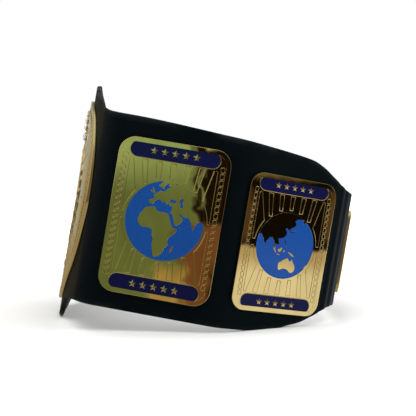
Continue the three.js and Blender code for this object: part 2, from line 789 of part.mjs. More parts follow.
// A raised seat for one stone
function seat(along, up) {
  return turned([
    [0, FIELD_TOP - RELIEF_ROOT],
    [CRYSTAL_RADIUS + SEAT_WALL, FIELD_TOP - RELIEF_ROOT],
    [CRYSTAL_RADIUS + SEAT_WALL, FIELD_TOP + SEAT_RISE],
    [0, FIELD_TOP + SEAT_RISE],
  ], along, up);
}

// Flat-backed stone with eight sides: girdle, crown and a flat table
function stone(along, up) {
  const back = FIELD_TOP + SEAT_RISE + INLAY_GAP;
  return turned([
    [0, back],
    [CRYSTAL_RADIUS, back],
    [CRYSTAL_RADIUS, back + CRYSTAL_HEIGHT * CRYSTAL_GIRDLE_SHARE],
    [CRYSTAL_RADIUS * CRYSTAL_TABLE_SHARE, back + CRYSTAL_HEIGHT],
    [0, back + CRYSTAL_HEIGHT],
  ], along, up);
}

function leaf(along, up, angle) {
  const length = LEAF_LENGTH / 2;
  const width = LEAF_WIDTH / 2;
  const corners = [[-length, 0], [0, -width], [length, 0], [0, width]].map(([a, b]) => (
    new THREE.Vector2(a, b).rotateAround(new THREE.Vector2(), angle).add(new THREE.Vector2(along, up))));
  return slab(corners, FIELD_TOP - RELIEF_ROOT, FIELD_TOP + LINE_RISE);
}

function laurel(side) {
  const leaves = [];
  for (let i = 0; i < LEAF_COUNT; i += 1) {
    const turn = (LAUREL_FIRST + (LAUREL_LAST - LAUREL_FIRST) * i / (LEAF_COUNT - 1)) * DEGREE;
    for (const row of [-1, 1]) {
      const radius = LAUREL_RADIUS + row * LEAF_OFFSET;
      const angle = side > 0 ? turn : Math.PI - turn;
      const tilt = angle + side * (90 - row * LEAF_SPREAD) * DEGREE;
      leaves.push(leaf(radius * Math.cos(angle), radius * Math.sin(angle) + MAIN_GLOBE_UP, tilt));
    }
  }
  return leaves;
}

function mainPlate() {
  const outline = mainOutline();
  const bed = FIELD_TOP - RELIEF_ROOT;
  const chainOuter = grow(outline, CHAIN_WIDTH / 2 - CHAIN_INSET);
  const chainInner = grow(outline, -CHAIN_WIDTH / 2 - CHAIN_INSET);
  const outlines = [
    ...globeOutlines([NORTH_AMERICA, GREENLAND], MAIN_GLOBE, 0, MAIN_GLOBE_UP, MAIN_NORTH),
    ...globeOutlines([SOUTH_AMERICA], MAIN_GLOBE, 0, MAIN_GLOBE_UP, MAIN_SOUTH),
  ];
  const world = globePair(outlines, MAIN_GLOBE, 0, MAIN_GLOBE_UP);
  const banners = [CREST_BANNER, FOOT_BANNER].map((place) => (
    bannerPair(place.length, MAIN_BANNER_HEIGHT, 0, place.up)));
  const studs = studSet([[-MAIN_STUD_ALONG, MAIN_STUD_UP], [MAIN_STUD_ALONG, MAIN_STUD_UP]]);
  const rim = slab(outline, SEAT_GAP, FIELD_TOP + RIM_RISE, [grow(outline, -RIM_WIDTH)]);
  let field = slab(outline, SEAT_GAP, FIELD_TOP).add(rim);
  for (const pocket of [world, ...banners]) field = field.subtract(pocket.hollow);
  const reliefs = [
    slab(chainOuter, bed, FIELD_TOP + RAIL_RISE, [chainInner]),
    ...laurel(1), ...laurel(-1), studs,
    ...crestPlaces().map(([along, up]) => seat(along, up)),
  ];
  const plate = joinAll([bent(field.add(world.land), true), ...reliefs.map((relief) => bent(relief))]);
  addPiece("main_plate", plate, gold);
  addPiece("main_globe_enamel", bent(world.sea, true), seaBlue);
  addPiece("main_upper_banner_enamel", bent(banners[0].enamel, true), navy);
  addPiece("main_lower_banner_enamel", bent(banners[1].enamel, true), navy);
  crestPlaces().forEach(([along, up], i) => {
    addPiece(`crest_crystal_${i + 1}`, bent(stone(along, up)), crystal);
  });
}

// Plain plates near the tails: rim and a round enamel
function tailPlate(name, along) {
  const { width, height, corner, up, globe } = TAIL_PLATE;
  const outline = roundedRectangle(width, height, corner, along, up);
  const rim = slab(outline, SEAT_GAP, FIELD_TOP + RIM_RISE, [grow(outline, -RIM_WIDTH)]);
  const hollow = slab(circle(globe, along, up, TAIL_SIDES), ENAMEL_FLOOR, FIELD_TOP + 1);
  const low = ENAMEL_FLOOR + INLAY_GAP;
  const enamel = slab(circle(globe - INLAY_GAP, along, up, TAIL_SIDES), low, low + ENAMEL_THICKNESS);
  const studs = studSet([[along, up - height / 2 + TAIL_STUD_INSET]]);
  const plate = slab(outline, SEAT_GAP, FIELD_TOP).add(rim).subtract(hollow);
  addPiece(`${name}_plate`, bent(plate.add(studs)), gold);
  addPiece(`${name}_enamel`, bent(enamel), seaBlue);
}

// Snaps hold the lapped tails: cap outside, post through both layers, flange inside
function snaps() {
  const inner = -2 * LEATHER_THICKNESS - 2 * SEAT_GAP;
  let number = 1;
  for (const side of [-1, 1]) {
    for (let row = 0; row < SNAP_ROWS; row += 1) {
      const along = HALF_LOOP + side * LAP_LENGTH / 4;
      const up = (row - (SNAP_ROWS - 1) / 2) * SNAP_PITCH + (TAIL_TOP - TAIL_FOOT) / 2;
      addHole(along, up, STUD_RADIUS + HOLE_CLEARANCE);
      addHole(along - 2 * HALF_LOOP, up, STUD_RADIUS + HOLE_CLEARANCE);
      addPiece(`snap_${number}`, bent(turned([
        [0, inner - STUD_HEAD_THICKNESS],
        [STUD_HEAD_RADIUS, inner - STUD_HEAD_THICKNESS],
        [STUD_HEAD_RADIUS, inner],
        [STUD_RADIUS, inner],
        [STUD_RADIUS, SEAT_GAP],
        [SNAP_RADIUS, SEAT_GAP],
        [SNAP_RADIUS * SNAP_CROWN_SHARE, SEAT_GAP + SNAP_RISE],
        [0, SEAT_GAP + SNAP_RISE],
      ], along, up)), steel);
      number += 1;
    }
  }
}

// The strap: one leather band with bevelled edges, flat where it stands on the table
function strapSection(along) {
  const { top, bottom } = strapEdges(along);
  const inner = -LEATHER_THICKNESS;
  const rows = [
    [0, bottom + LEATHER_BEVEL], [0, top - LEATHER_BEVEL], [-LEATHER_BEVEL, top],
    [inner, top], [inner, bottom], [-LEATHER_BEVEL, bottom],
  ];
  return rows.map(([out, up]) => {
    const { x, y } = bend(along, up, out);
    return [x, y, Math.max(up, tableUp(y))];
  });
}

// One section at each station, and more between stations that lie far apart
function strapPlaces() {
  return STATIONS.flatMap(({ along }, i) => {
    const next = STATIONS[i + 1];
    if (!next) return [along];
    const parts = Math.ceil((next.along - along) / SECTION_STEP);
    return Array.from({ length: parts }, (_, j) => along + (next.along - along) * j / parts);
  });
}

function strap() {
  const sections = strapPlaces().map(strapSection);
  const corners = sections[0].length;
  const index = [];
  for (let i = 0; i + 1 < sections.length; i += 1) {
    for (let j = 0; j < corners; j += 1) {
      const a = i * corners + j;
      const b = i * corners + (j + 1) % corners;
      index.push(a, a + corners, b, b, a + corners, b + corners);
    }
  }
  const last = (sections.length - 1) * corners;
  for (let j = 2; j < corners; j += 1) {
    index.push(0, j - 1, j, last, last + j, last + j - 1);
  }
  const geometry = new THREE.BufferGeometry();
  geometry.setAttribute("position", new THREE.Float32BufferAttribute(sections.flat(2), 3));
  geometry.setIndex(index);
  const punched = solidFrom(geometry).subtract(joinAll(strapHoles));
  const mesh = new THREE.Mesh(geometryFrom(punched), leather);
  mesh.geometry.computeVertexNormals();
  mesh.name = "leather_strap";
  belt.add(mesh);
}

const FRONT_MIDDLE = FRONT_PLATE_START + FRONT_PLATE.width / 2;
const REAR_MIDDLE = REAR_PLATE_START + REAR_PLATE.width / 2;
const TAIL_MIDDLE = TAIL_PLATE_START + TAIL_PLATE.width / 2;
mainPlate();
sidePlate("left_front", FRONT_PLATE, FRONT_LEFT_LANDS, FRONT_MIDDLE);
sidePlate("left_rear", REAR_PLATE, REAR_LEFT_LANDS, REAR_MIDDLE);
sidePlate("right_front", FRONT_PLATE, FRONT_RIGHT_LANDS, -FRONT_MIDDLE);
sidePlate("right_rear", REAR_PLATE, REAR_RIGHT_LANDS, -REAR_MIDDLE);
tailPlate("left_tail", TAIL_MIDDLE);
tailPlate("right_tail", -TAIL_MIDDLE);
snaps();
strap();

// The belt leans back to where it rests, and the origin is under its middle on the table.
belt.rotation.x = -REST.lean;
const title = new THREE.Group();
title.name = "title_belt";
title.add(belt);
title.updateMatrixWorld(true);
const reach = new THREE.Box3().setFromObject(title, true);
const restHeight = REST.tip.y * Math.sin(REST.lean) - REST.tip.up * Math.cos(REST.lean);
belt.position.set(-(reach.min.x + reach.max.x) / 2, -(reach.min.y + reach.max.y) / 2, restHeight);

export default title;
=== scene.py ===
# A championship title belt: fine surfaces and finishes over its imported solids, in metres, +Z up.
# Each form is drawn flat first, in millimetres, in three directions: along (round the strap, zero
# at the middle of the front, positive towards the wearer's left), up (across the strap) and out
# (away from the leather's outer face). The function bend then carries it onto the loop.
import math

import bmesh
import bpy
import numpy as np
from mathutils import Matrix, Vector
from mathutils.geometry import tessellate_polygon


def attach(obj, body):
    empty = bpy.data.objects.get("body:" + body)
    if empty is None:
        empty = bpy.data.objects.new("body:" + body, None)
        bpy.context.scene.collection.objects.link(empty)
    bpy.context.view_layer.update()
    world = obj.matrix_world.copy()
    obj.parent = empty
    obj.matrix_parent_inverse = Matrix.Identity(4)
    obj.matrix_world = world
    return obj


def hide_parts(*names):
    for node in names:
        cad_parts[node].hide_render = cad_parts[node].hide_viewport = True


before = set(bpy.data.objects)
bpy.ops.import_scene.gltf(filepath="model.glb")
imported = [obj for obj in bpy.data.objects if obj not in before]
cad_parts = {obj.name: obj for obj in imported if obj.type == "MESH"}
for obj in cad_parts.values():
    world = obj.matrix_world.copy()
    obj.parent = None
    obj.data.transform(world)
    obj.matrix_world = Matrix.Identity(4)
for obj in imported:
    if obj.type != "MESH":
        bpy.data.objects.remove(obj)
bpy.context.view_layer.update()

# Leather strap
LEATHER_THICKNESS = 4.5
FRONT_TOP = 121.6
FRONT_FOOT = 115.8
FLANK_TOP = 90.3
FLANK_FOOT = 84.3
TAIL_TOP = 55.0
TAIL_FOOT = 54.5
CREASE_DEPTH = 1.3
REST_FLAT = 1.2
LAP_LENGTH = 34.0
OUTER_EDGE_ROUND = 1.5
INNER_EDGE_ROUND = 0.8

# Loop seen from above: each bend's length along the leather's outer face and its turn in degrees
FRONT_ARC_LENGTH = 111.8
FRONT_ARC_TURN = 16.1
CORNER_LENGTH = 27.6
CORNER_TURN = 63.7247
SIDE_BEND_LENGTH = 18.4
SIDE_BEND_TURN = 31.8753
BACK_BEND_LENGTH = 38.9
BACK_BEND_TURN = 60.0
FRONT_DEPTH = 130.0

# How the closed belt leans back on the table, and where its middle lies (radians and millimetres)
REST_LEAN = 0.172776
REST_SHIFT_Y = -0.4743
REST_SHIFT_Z = 90.5444

# Plates
SEAT_GAP = 0.3
PLATE_FIELD = 2.6
RIM_RISE = 0.22
ENAMEL_FLOOR = 2.0
ENAMEL_THICKNESS = 0.85
ENAMEL_TOP = ENAMEL_FLOOR + ENAMEL_THICKNESS
# How a fill stands over that height from its edge inwards
MENISCUS = (0.02, -0.06, -0.08)
FIELD_TOP = SEAT_GAP + PLATE_FIELD
RIM_WIDTH = 4.4
# A plate's wall up to its rim: distance inside the outline, drop below the rim's top
WALL_ROUND = ((0, 0.45), (0.1, 0.16), (0.32, 0.02), (0.4, 0), (0.46, 0))
BACK_EDGE_INSET = 1.5
CHAIN_INSET = 6.7
FRONT_PLATE = {
    "width": 101.7, "height": 140.0, "corner": 15.0, "up": 1.5, "globe": 35.4, "line_rise": 0.19}
REAR_PLATE = {
    "width": 92.0, "height": 124.4, "corner": 13.0, "up": -3.1, "globe": 30.3, "line_rise": 0.22}
TAIL_PLATE = {"width": 62.0, "height": 81.0, "corner": 9.0, "up": -2.0, "globe": 19.0}
TUCK = LEATHER_THICKNESS + SEAT_GAP

# How the strap's edges fall: share of the stretch, share of the fall
TOP_SHOULDER = (
    (0, 0), (0.09, 0.05), (0.2, 0.165), (0.287, 0.255), (0.373, 0.36), (0.416, 0.43),
    (0.459, 0.52), (0.502, 0.597), (0.545, 0.672), (0.588, 0.735), (0.631, 0.787), (0.717, 0.873),
    (0.803, 0.932), (0.9, 0.98), (1, 1),
)
FOOT_SHOULDER = (
    (0, 0), (0.14, 0.03), (0.22, 0.1), (0.287, 0.18), (0.33, 0.26), (0.373, 0.42), (0.416, 0.6),
    (0.459, 0.73), (0.502, 0.815), (0.545, 0.858), (0.631, 0.905), (0.717, 0.952), (0.8, 0.99),
    (0.88, 1), (1, 1),
)
TOP_TAPER = (
    (0, 0), (0.39, 0.14), (0.62, 0.25), (0.73, 0.335), (0.785, 0.475), (0.84, 0.7),
    (0.895, 0.895), (0.95, 0.99), (1, 1),
)
FOOT_TAPER = (
    (0, 0), (0.57, 0), (0.601, 0.008), (0.632, 0.051), (0.662, 0.091), (0.7, 0.155), (0.73, 0.25),
    (0.785, 0.4), (0.84, 0.65), (0.895, 0.89), (0.95, 1), (1, 1),
)
# Creases in the back bend: share of its length, width as a share of it, share of the depth
CREASES = ((0.16, 0.07, 0.7), (0.42, 0.08, 1.0), (0.68, 0.07, 0.8))

FRONT_PLATE_START = FRONT_ARC_LENGTH + CORNER_LENGTH
FRONT_PLATE_END = FRONT_PLATE_START + FRONT_PLATE["width"]
REAR_PLATE_START = FRONT_PLATE_END + SIDE_BEND_LENGTH
REAR_PLATE_END = REAR_PLATE_START + REAR_PLATE["width"]
TAIL_PLATE_START = REAR_PLATE_END + BACK_BEND_LENGTH
TAIL_PLATE_END = TAIL_PLATE_START + TAIL_PLATE["width"]


# Loop
def walk_loop():
    """Distance, x, y and heading at many places along one side of the loop."""
    bends = (
        (FRONT_ARC_LENGTH, FRONT_ARC_TURN), (CORNER_LENGTH, CORNER_TURN),
        (FRONT_PLATE["width"], 0), (SIDE_BEND_LENGTH, SIDE_BEND_TURN),
        (REAR_PLATE["width"], 0), (BACK_BEND_LENGTH, BACK_BEND_TURN), (TAIL_PLATE["width"], 0),
    )
    ends = np.concatenate([[0], np.cumsum([length for length, _ in bends])])
    headings = np.concatenate([[0], np.cumsum([math.radians(turn) for _, turn in bends])])

    def places(ends, headings):
        distance = np.linspace(0, ends[-1], 20001)
        heading = np.interp(distance, ends, headings)
        middle = (heading[1:] + heading[:-1]) / 2
        step = np.diff(distance)
        x = np.concatenate([[0], np.cumsum(step * np.cos(middle))])
        y = np.concatenate([[0], np.cumsum(step * np.sin(middle))]) - FRONT_DEPTH
        return distance, x, y, heading

    _, x, _, heading = places(ends, headings)
    turn = math.pi - heading[-1]
    length = x[-1] * turn / math.sin(heading[-1])
    return places(np.append(ends, ends[-1] + length), np.append(headings, math.pi))


LOOP = walk_loop()
HALF_LOOP = LOOP[0][-1]


def smooth_share(share):
    t = np.clip(share, 0, 1)
    return t * t * (3 - 2 * t)


def read_table(rows, along):
    """Value of a table at a place along it, on a curve that never overshoots."""
    places, drops = np.array(rows, float).T
    slope = np.diff(drops) / np.diff(places)
    before, after = slope[:-1], slope[1:]
    rising = before * after > 0
    total = np.where(rising, before + after, 1)
    tangent = np.zeros(len(places))
    tangent[1:-1] = np.where(rising, 2 * before * after / total, 0)
    k = np.clip(np.searchsorted(places, along) - 1, 0, len(places) - 2)
    span = places[k + 1] - places[k]
    t = np.clip((along - places[k]) / span, 0, 1)
    curve = tangent[k] * t * (1 - t) ** 2 - tangent[k + 1] * t * t * (1 - t)
    return drops[k] + (drops[k + 1] - drops[k]) * t * t * (3 - 2 * t) + span * curve


def strap_edges(along):
    """Upper and lower edge of the strap."""
    distance = np.minimum(np.abs(along), HALF_LOOP)
    shoulder = distance / FRONT_PLATE_START
    taper = (distance - FRONT_PLATE_START) / (TAIL_PLATE_START - FRONT_PLATE_START)

    def fall(edge, flank, tail, shoulder_rows, taper_rows):
        return (edge - (edge - flank) * read_table(shoulder_rows, shoulder)
                - (flank - tail) * read_table(taper_rows, taper))

    return (fall(FRONT_TOP, FLANK_TOP, TAIL_TOP, TOP_SHOULDER, TOP_TAPER),
            -fall(FRONT_FOOT, FLANK_FOOT, TAIL_FOOT, FOOT_SHOULDER, FOOT_TAPER))


def strap_inset(along):
    """How far the strap's outer face lies inside the plain loop."""
    back = (np.abs(along) - REAR_PLATE_END) / BACK_BEND_LENGTH
    inset = np.where(along < 0, TUCK * smooth_share(back), 0)
    for place, width, depth in CREASES:
        inset = inset + CREASE_DEPTH * depth * np.exp(-(((back - place) / width) ** 2))
    return inset


def bend_flat(along, up, out):
    """Flat places carried onto the loop, before the belt leans back."""
    distance = np.abs(along)
    past = distance > HALF_LOOP
    reach = np.where(past, 2 * HALF_LOOP - distance, distance)
    side = np.where(along < 0, -1, 1) * np.where(past, -1, 1)
    heading = np.interp(reach, LOOP[0], LOOP[3])
    normal_x, normal_y = side * np.sin(heading), -np.cos(heading)
    depth = out - strap_inset(along)
    x = side * np.interp(reach, LOOP[0], LOOP[1]) + depth * normal_x
    y = np.interp(reach, LOOP[0], LOOP[2]) + depth * normal_y
    return x, y, up


def lean_back(x, y, up):
    """The leaning belt's places in metres."""
    cos, sin = math.cos(REST_LEAN), math.sin(REST_LEAN)
    leaning = [x, y * cos + up * sin + REST_SHIFT_Y, up * cos - y * sin + REST_SHIFT_Z]
    return np.stack(leaning, 1) / 1000


def bend(flat):
    flat = np.asarray(flat, float)
    return lean_back(*bend_flat(flat[:, 0], flat[:, 1], flat[:, 2]))


def table_up(y):
    """Height of the table in the belt's own directions, before it leans back."""
    return REST_FLAT - FRONT_FOOT + math.tan(REST_LEAN) * (y + FRONT_DEPTH)


# Meshes
class Parts:
    """Points and faces of many small forms, gathered for one piece."""

    def __init__(self):
        self.points = []
        self.faces = []
        self.count = 0

    def add(self, points, faces):
        points = np.asarray(points, float)
        self.points.append(points)
        self.faces.extend(tuple(int(i) + self.count for i in face) for face in faces)
        self.count += len(points)


def add_object(name, data):
    thing = bpy.data.objects.new(name, data)
    bpy.context.scene.collection.objects.link(thing)
    return thing


def add_piece(name, mesh, material, slot, stands_for=()):
    """A mesh that rides on the belt, in place of the solids it stands for."""
    mesh.materials.append(material)
    piece = add_object(name, mesh)
    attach(piece, "root")
    if stands_for:
        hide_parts(*stands_for)


def make_piece(name, parts, material, slot, stands_for=(), sharp_angle=35.0):
    """One piece from the gathered forms, bent onto the loop."""
    mesh = bpy.data.meshes.new(name)
    points = bend(np.concatenate(parts.points))
    mesh.from_pydata(points.tolist(), [], parts.faces)
    mesh.validate()
    mesh.shade_smooth()
    mesh.set_sharp_from_angle(angle=math.radians(sharp_angle))
    add_piece(name, mesh, material, slot, stands_for)


def rounded_rectangle(width, height, radius, along=0.0, up=0.0, steps=10):
    points = []
    for across, rise, first in ((1, 1, 0), (-1, 1, 90), (-1, -1, 180), (1, -1, 270)):
        for i in range(steps + 1):
            angle = math.radians(first + 90 * i / steps)
            points.append((
                along + across * (width / 2 - radius) + radius * math.cos(angle),
                up + rise * (height / 2 - radius) + radius * math.sin(angle),
            ))
    return np.array(points)


def circle(radius, along, up, steps=96):
    angle = np.arange(steps) * 2 * math.pi / steps
    return np.stack([along + radius * np.cos(angle), up + radius * np.sin(angle)], 1)


def side_normals(path, closed):
    """Unit normals on the left of a path, lengthened at its corners."""
    if closed:
        before, after = path - np.roll(path, 1, 0), np.roll(path, -1, 0) - path
    else:
        step = np.diff(path, axis=0)
        before, after = np.vstack([step[:1], step]), np.vstack([step, step[-1:]])
    before = before / np.linalg.norm(before, axis=1, keepdims=True)
    after = after / np.linalg.norm(after, axis=1, keepdims=True)
    mean = before + after
    mean = mean / np.maximum(np.linalg.norm(mean, axis=1, keepdims=True), 1e-9)
    stretch = np.maximum(0.6, (mean * before).sum(1, keepdims=True))
    return np.stack([-mean[:, 1], mean[:, 0]], 1) / stretch


def shrink(outline, distance):
    """The outline moved inwards; it runs counter-clockwise."""
    return outline + side_normals(outline, True) * distance


def fine_line(points, longest, closed=False):
    """The same line with no step longer than the given length."""
    points = np.asarray(points, float)
    ends = np.roll(points, -1, 0) if closed else points[1:]
    made = []
    for start, end in zip(points, ends):
        count = max(1, math.ceil(np.linalg.norm(end - start) / longest))
        made.extend(start + (end - start) * i / count for i in range(count))
    if not closed:
        made.append(points[-1])
    return np.array(made)


def stack_rings(parts, rings, close_last=False):
    """Walls between outlines of equal length, each with its height out of the strap."""
    count = len(rings[0][0])
    points = [np.column_stack([outline, np.full(count, out)]) for outline, out in rings]
    faces = []
    for level in range(len(rings) - 1):
        for i in range(count):
            a, b = level * count + i, level * count + (i + 1) % count
            faces.append((a, b, b + count, a + count))
    if close_last:
        faces.append(tuple(range((len(rings) - 1) * count, len(rings) * count)))
    parts.add(np.concatenate(points), faces)


def cut_at(points, faces, places):
    """Triangles cut where they cross the given places along the strap."""
    triangles = [np.array([points[i] for i in face]) for face in faces]
    for place in places:
        made = []
        for triangle in triangles:
            reach = triangle[:, 0] - place
            side = np.sign(np.where(np.abs(reach) < 0.02, 0, reach))
            if side.min() >= 0 or side.max() <= 0:
                made.append(triangle)
                continue
            halves = ([], [])
            for i in range(3):
                here, there = triangle[i], triangle[(i + 1) % 3]
                if side[i] <= 0:
                    halves[0].append(here)
                if side[i] >= 0:
                    halves[1].append(here)
                if side[i] * side[(i + 1) % 3] < 0:
                    crossing = here + (there - here) * (place - here[0]) / (there[0] - here[0])
                    halves[0].append(crossing)
                    halves[1].append(crossing)
            for half in halves:
                for i in range(1, len(half) - 1):
                    made.append(np.array([half[0], half[i], half[i + 1]]))
        triangles = made
    flat = np.concatenate(triangles)
    keys, index = np.unique(np.round(flat, 3), axis=0, return_inverse=True)
    index = index.reshape(-1, 3)
    return keys, [tuple(face) for face in index if len(set(face)) == 3]


def flat_face(parts, outline, out, holes=(), cuts=()):
    """A level face inside an outline, with holes."""
    loops = [outline, *holes]
    lists = [[Vector((x, y, 0)) for x, y in loop] for loop in loops]
    points = np.concatenate(loops)
    faces = tessellate_polygon(lists)
    points = np.column_stack([points, np.full(len(points), out)])
    upright = []
    for a, b, c in faces:
        p, q, r = points[a][:2], points[b][:2], points[c][:2]
        area = (q[0] - p[0]) * (r[1] - p[1]) - (q[1] - p[1]) * (r[0] - p[0])
        if abs(area) > 1e-7:
            upright.append((a, b, c) if area > 0 else (a, c, b))
    if len(cuts):
        points, upright = cut_at(points, upright, cuts)
    parts.add(points, upright)


def plate_body(parts, inset, holes, cuts=()):
    """A plate's back edge, rounded wall, rim, field and pockets."""
    rim_top = FIELD_TOP + RIM_RISE
    stack_rings(parts, [
        (inset(BACK_EDGE_INSET), SEAT_GAP), (inset(0), SEAT_GAP),
        *((inset(distance), rim_top - drop) for distance, drop in WALL_ROUND),
        (inset(RIM_WIDTH - 0.2), rim_top), (inset(RIM_WIDTH - 0.14), rim_top),
        (inset(RIM_WIDTH), FIELD_TOP),
    ])
    flat_face(parts, inset(RIM_WIDTH), FIELD_TOP, holes, cuts)
    for hole in holes:
        stack_rings(parts, [(hole, FIELD_TOP), (hole, ENAMEL_FLOOR)])


# Section of a raised line, from one foot to the other: share of half its width, share of its rise
RIDGE = ((-1.0, -0.25), (-0.62, 0.72), (0.0, 1.0), (0.62, 0.72), (1.0, -0.25))


def ridge(parts, path, width, rise, base=FIELD_TOP, closed=False, longest=4.0):
    """A thin raised line with a rounded back."""
    path = fine_line(path, longest, closed)
    normals = side_normals(path, closed)
    count, across = len(path), len(RIDGE)
    points = np.concatenate([
        np.column_stack([path - normals * width / 2 * side, np.full(count, base + rise * height)])
        for side, height in RIDGE
    ])
    faces = []
    for i in range(count if closed else count - 1):
        j = (i + 1) % count
        for k in range(across - 1):
            low, high = k * count, (k + 1) * count
            faces.append((low + i, high + i, high + j, low + j))
    if not closed:
        faces.append(tuple(k * count for k in range(across))[::-1])
        faces.append(tuple(k * count + count - 1 for k in range(across)))
    parts.add(points, [face[::-1] for face in faces])


def dome(parts, rows, along, up, sides=28):
    """Round form from rows of radius and height, closed at its top."""
    points, faces = [], []
    for radius, out in rows:
        for i in range(sides):
            angle = 2 * math.pi * i / sides
            points.append((along + radius * math.cos(angle), up + radius * math.sin(angle), out))
    for level in range(len(rows) - 1):
        for i in range(sides):
            a, b = level * sides + i, level * sides + (i + 1) % sides
            faces.append((a, b, b + sides, a + sides))
    faces.append(tuple(range((len(rows) - 1) * sides, len(rows) * sides)))
    parts.add(points, faces)


# Coasts on the globes: across and up from the globe's middle, in hundredths of its radius
AFRICA = (
    (-54, 26), (-45, 29), (-38, 31), (-28, 31), (-27, 27), (-20, 21), (-14, 20), (-8, 22), (0, 20),
    (5, 20), (8, 18), (12, 8), (17, -3), (23, -14), (28, -15), (35, -16), (32, -24), (25, -32),
    (17, -40), (16, -46), (18, -58), (15, -64), (9, -68), (9, -76), (3, -84), (-3, -91),
    (-14, -93), (-17, -85), (-20, -73), (-23, -62), (-21, -50), (-27, -38), (-27, -26), (-35, -23),
    (-42, -22), (-54, -24), (-62, -18), (-68, -10), (-66, 0), (-65, 8), (-58, 17),
)
EUROPE_AND_WEST_ASIA = (
    (-19, 97), (-24, 91), (-28, 86), (-26, 83), (-20, 82), (-16, 78), (-13, 79), (-13, 86),
    (-12, 88), (-6, 94), (-2, 95), (-5, 88), (3, 86), (0, 83), (-5, 82), (-7, 78), (-12, 73),
    (-18, 71), (-22, 75), (-24, 72), (-30, 67), (-36, 63), (-38, 60), (-35, 57), (-36, 50),
    (-46, 49), (-47, 42), (-44, 38), (-37, 37), (-33, 42), (-30, 48), (-25, 51), (-20, 52),
    (-15, 47), (-8, 43), (-10, 49), (-14, 53), (-5, 46), (-3, 42), (-1, 41), (1, 47), (2, 50),
    (3, 42), (8, 39), (14, 38), (14, 33), (13, 26), (10, 22), (18, 19), (21, 8), (25, 0), (28, -8),
    (34, -5), (41, 1), (46, 10), (44, 14), (39, 17), (35, 22), (33, 25), (42, 20), (47, 17),
    (53, 17), (59, 17), (63, 12), (67, 6), (70, -5), (74, -12), (77, -3), (80, 6), (87, 12),
    (92, 12), (96, 8), (100, 2), (112, 2), (116, 40), (90, 80), (50, 105), (20, 115), (-12, 113),
)
BRITAIN = ((-42, 80), (-38, 74), (-34, 67), (-37, 65), (-43, 66), (-41, 71), (-43, 76))
IRELAND = ((-48, 71), (-45, 73), (-43, 70), (-46, 67))
MADAGASCAR = ((29, -58), (33, -59), (31, -67), (27, -77), (24, -74), (26, -66))
BLACK_SEA = ((4, 52), (8, 57), (14, 55), (20, 56), (22, 50), (14, 48), (6, 48))
CASPIAN = (
    (28, 57), (33, 62), (41, 60), (38, 56), (37, 50), (41, 43), (38, 38), (32, 40), (34, 48),
)
WHITE_SEA = ((12, 95), (20, 98), (14, 93))
EAST_ASIA = (
    (-99, 25), (-92, 27), (-87, 25), (-82, 19), (-77, 10), (-74, 2), (-70, -3), (-68, 8),
    (-62, 13), (-58, 19), (-50, 21), (-47, 17), (-44, 13), (-40, 11), (-38, 3), (-35, 2), (-30, 2),
    (-27, 0), (-21, 4), (-24, 10), (-28, 15), (-26, 20), (-18, 20), (-11, 23), (-5, 28), (-1, 36),
    (-2, 43), (-9, 49), (-5, 53), (0, 52), (4, 46), (8, 50), (12, 55), (20, 59), (25, 63),
    (27, 70), (21, 75), (24, 80), (30, 84), (40, 84), (48, 85), (53, 84), (51, 78), (53, 72),
    (57, 77), (60, 78), (66, 74), (84, 80), (60, 104), (0, 118), (-60, 104), (-104, 60),
    (-116, 28),
)
JAPAN = ((4, 46), (10, 42), (18, 41), (26, 46), (30, 53), (28, 50), (20, 44), (12, 45))
PHILIPPINES = ((-5, 18), (-2, 17), (0, 9), (2, 3), (-1, 4), (-4, 12))
MINDANAO = ((2, -3), (6, -2), (4, -5))
BORNEO = ((-24, -14), (-18, -12), (-12, -6), (-8, -8), (-12, -18), (-16, -21), (-22, -18))
SUMATRA = ((-42, -8), (-38, -7), (-30, -18), (-27, -23), (-31, -23), (-37, -15))
MALAY_PENINSULA = ((-37, 2), (-33, -2), (-32, -9), (-30, -14), (-35, -8), (-38, 0))
JAVA = ((-26, -26), (-18, -27), (-12, -29), (-18, -30), (-25, -28))
SULAWESI = ((-4, -15), (0, -12), (1, -16), (-1, -22))
NEW_GUINEA = (
    (12, -18), (20, -18), (30, -23), (39, -30), (33, -29), (28, -29), (22, -24), (15, -20),
)
AUSTRALIA = (
    (-14, -52), (-8, -50), (-2, -46), (2, -42), (10, -39), (14, -36), (18, -37), (20, -42),
    (26, -45), (29, -44), (30, -38), (32, -38), (36, -47), (42, -53), (46, -62), (45, -72),
    (39, -78), (30, -79), (24, -73), (16, -69), (8, -68), (0, -70), (-8, -75), (-13, -70),
    (-14, -60),
)
NEW_ZEALAND = ((76, -60), (82, -52), (90, -50), (104, -52), (94, -72))
NORTH_AMERICA = (
    (-66, 46), (-60, 57), (-52, 66), (-40, 68), (-30, 71), (-18, 76), (-6, 74), (8, 76), (18, 66),
    (10, 62), (5, 56), (10, 48), (16, 50), (20, 57), (28, 62), (34, 62), (40, 54), (48, 44),
    (42, 38), (36, 30), (34, 22), (28, 12), (24, 0), (25, -8), (21, -15), (17, -7), (8, -6),
    (0, -9), (-4, -16), (-2, -26), (4, -31), (8, -25), (16, -27), (13, -35), (20, -42), (28, -47),
    (22, -51), (10, -44), (0, -40), (-10, -33), (-16, -24), (-22, -10), (-28, 2), (-35, 14),
    (-39, 24), (-44, 35), (-54, 38), (-60, 36),
)
GREENLAND = ((26, 84), (32, 90), (44, 86), (53, 78), (48, 68), (42, 62), (36, 72))
CUBA = ((14, -19), (22, -19), (30, -24), (25, -24), (18, -21))
SOUTH_AMERICA = (
    (-34, 62), (-28, 69), (-18, 72), (-8, 68), (2, 66), (12, 60), (20, 50), (32, 44), (46, 36),
    (51, 29), (44, 16), (39, 4), (34, -10), (24, -17), (18, -28), (11, -34), (8, -44), (0, -54),
    (-4, -64), (-4, -74), (-10, -82), (-17, -80), (-18, -66), (-17, -48), (-19, -30), (-22, -14),
    (-34, 4), (-42, 20), (-45, 32), (-38, 40), (-36, 52),
)
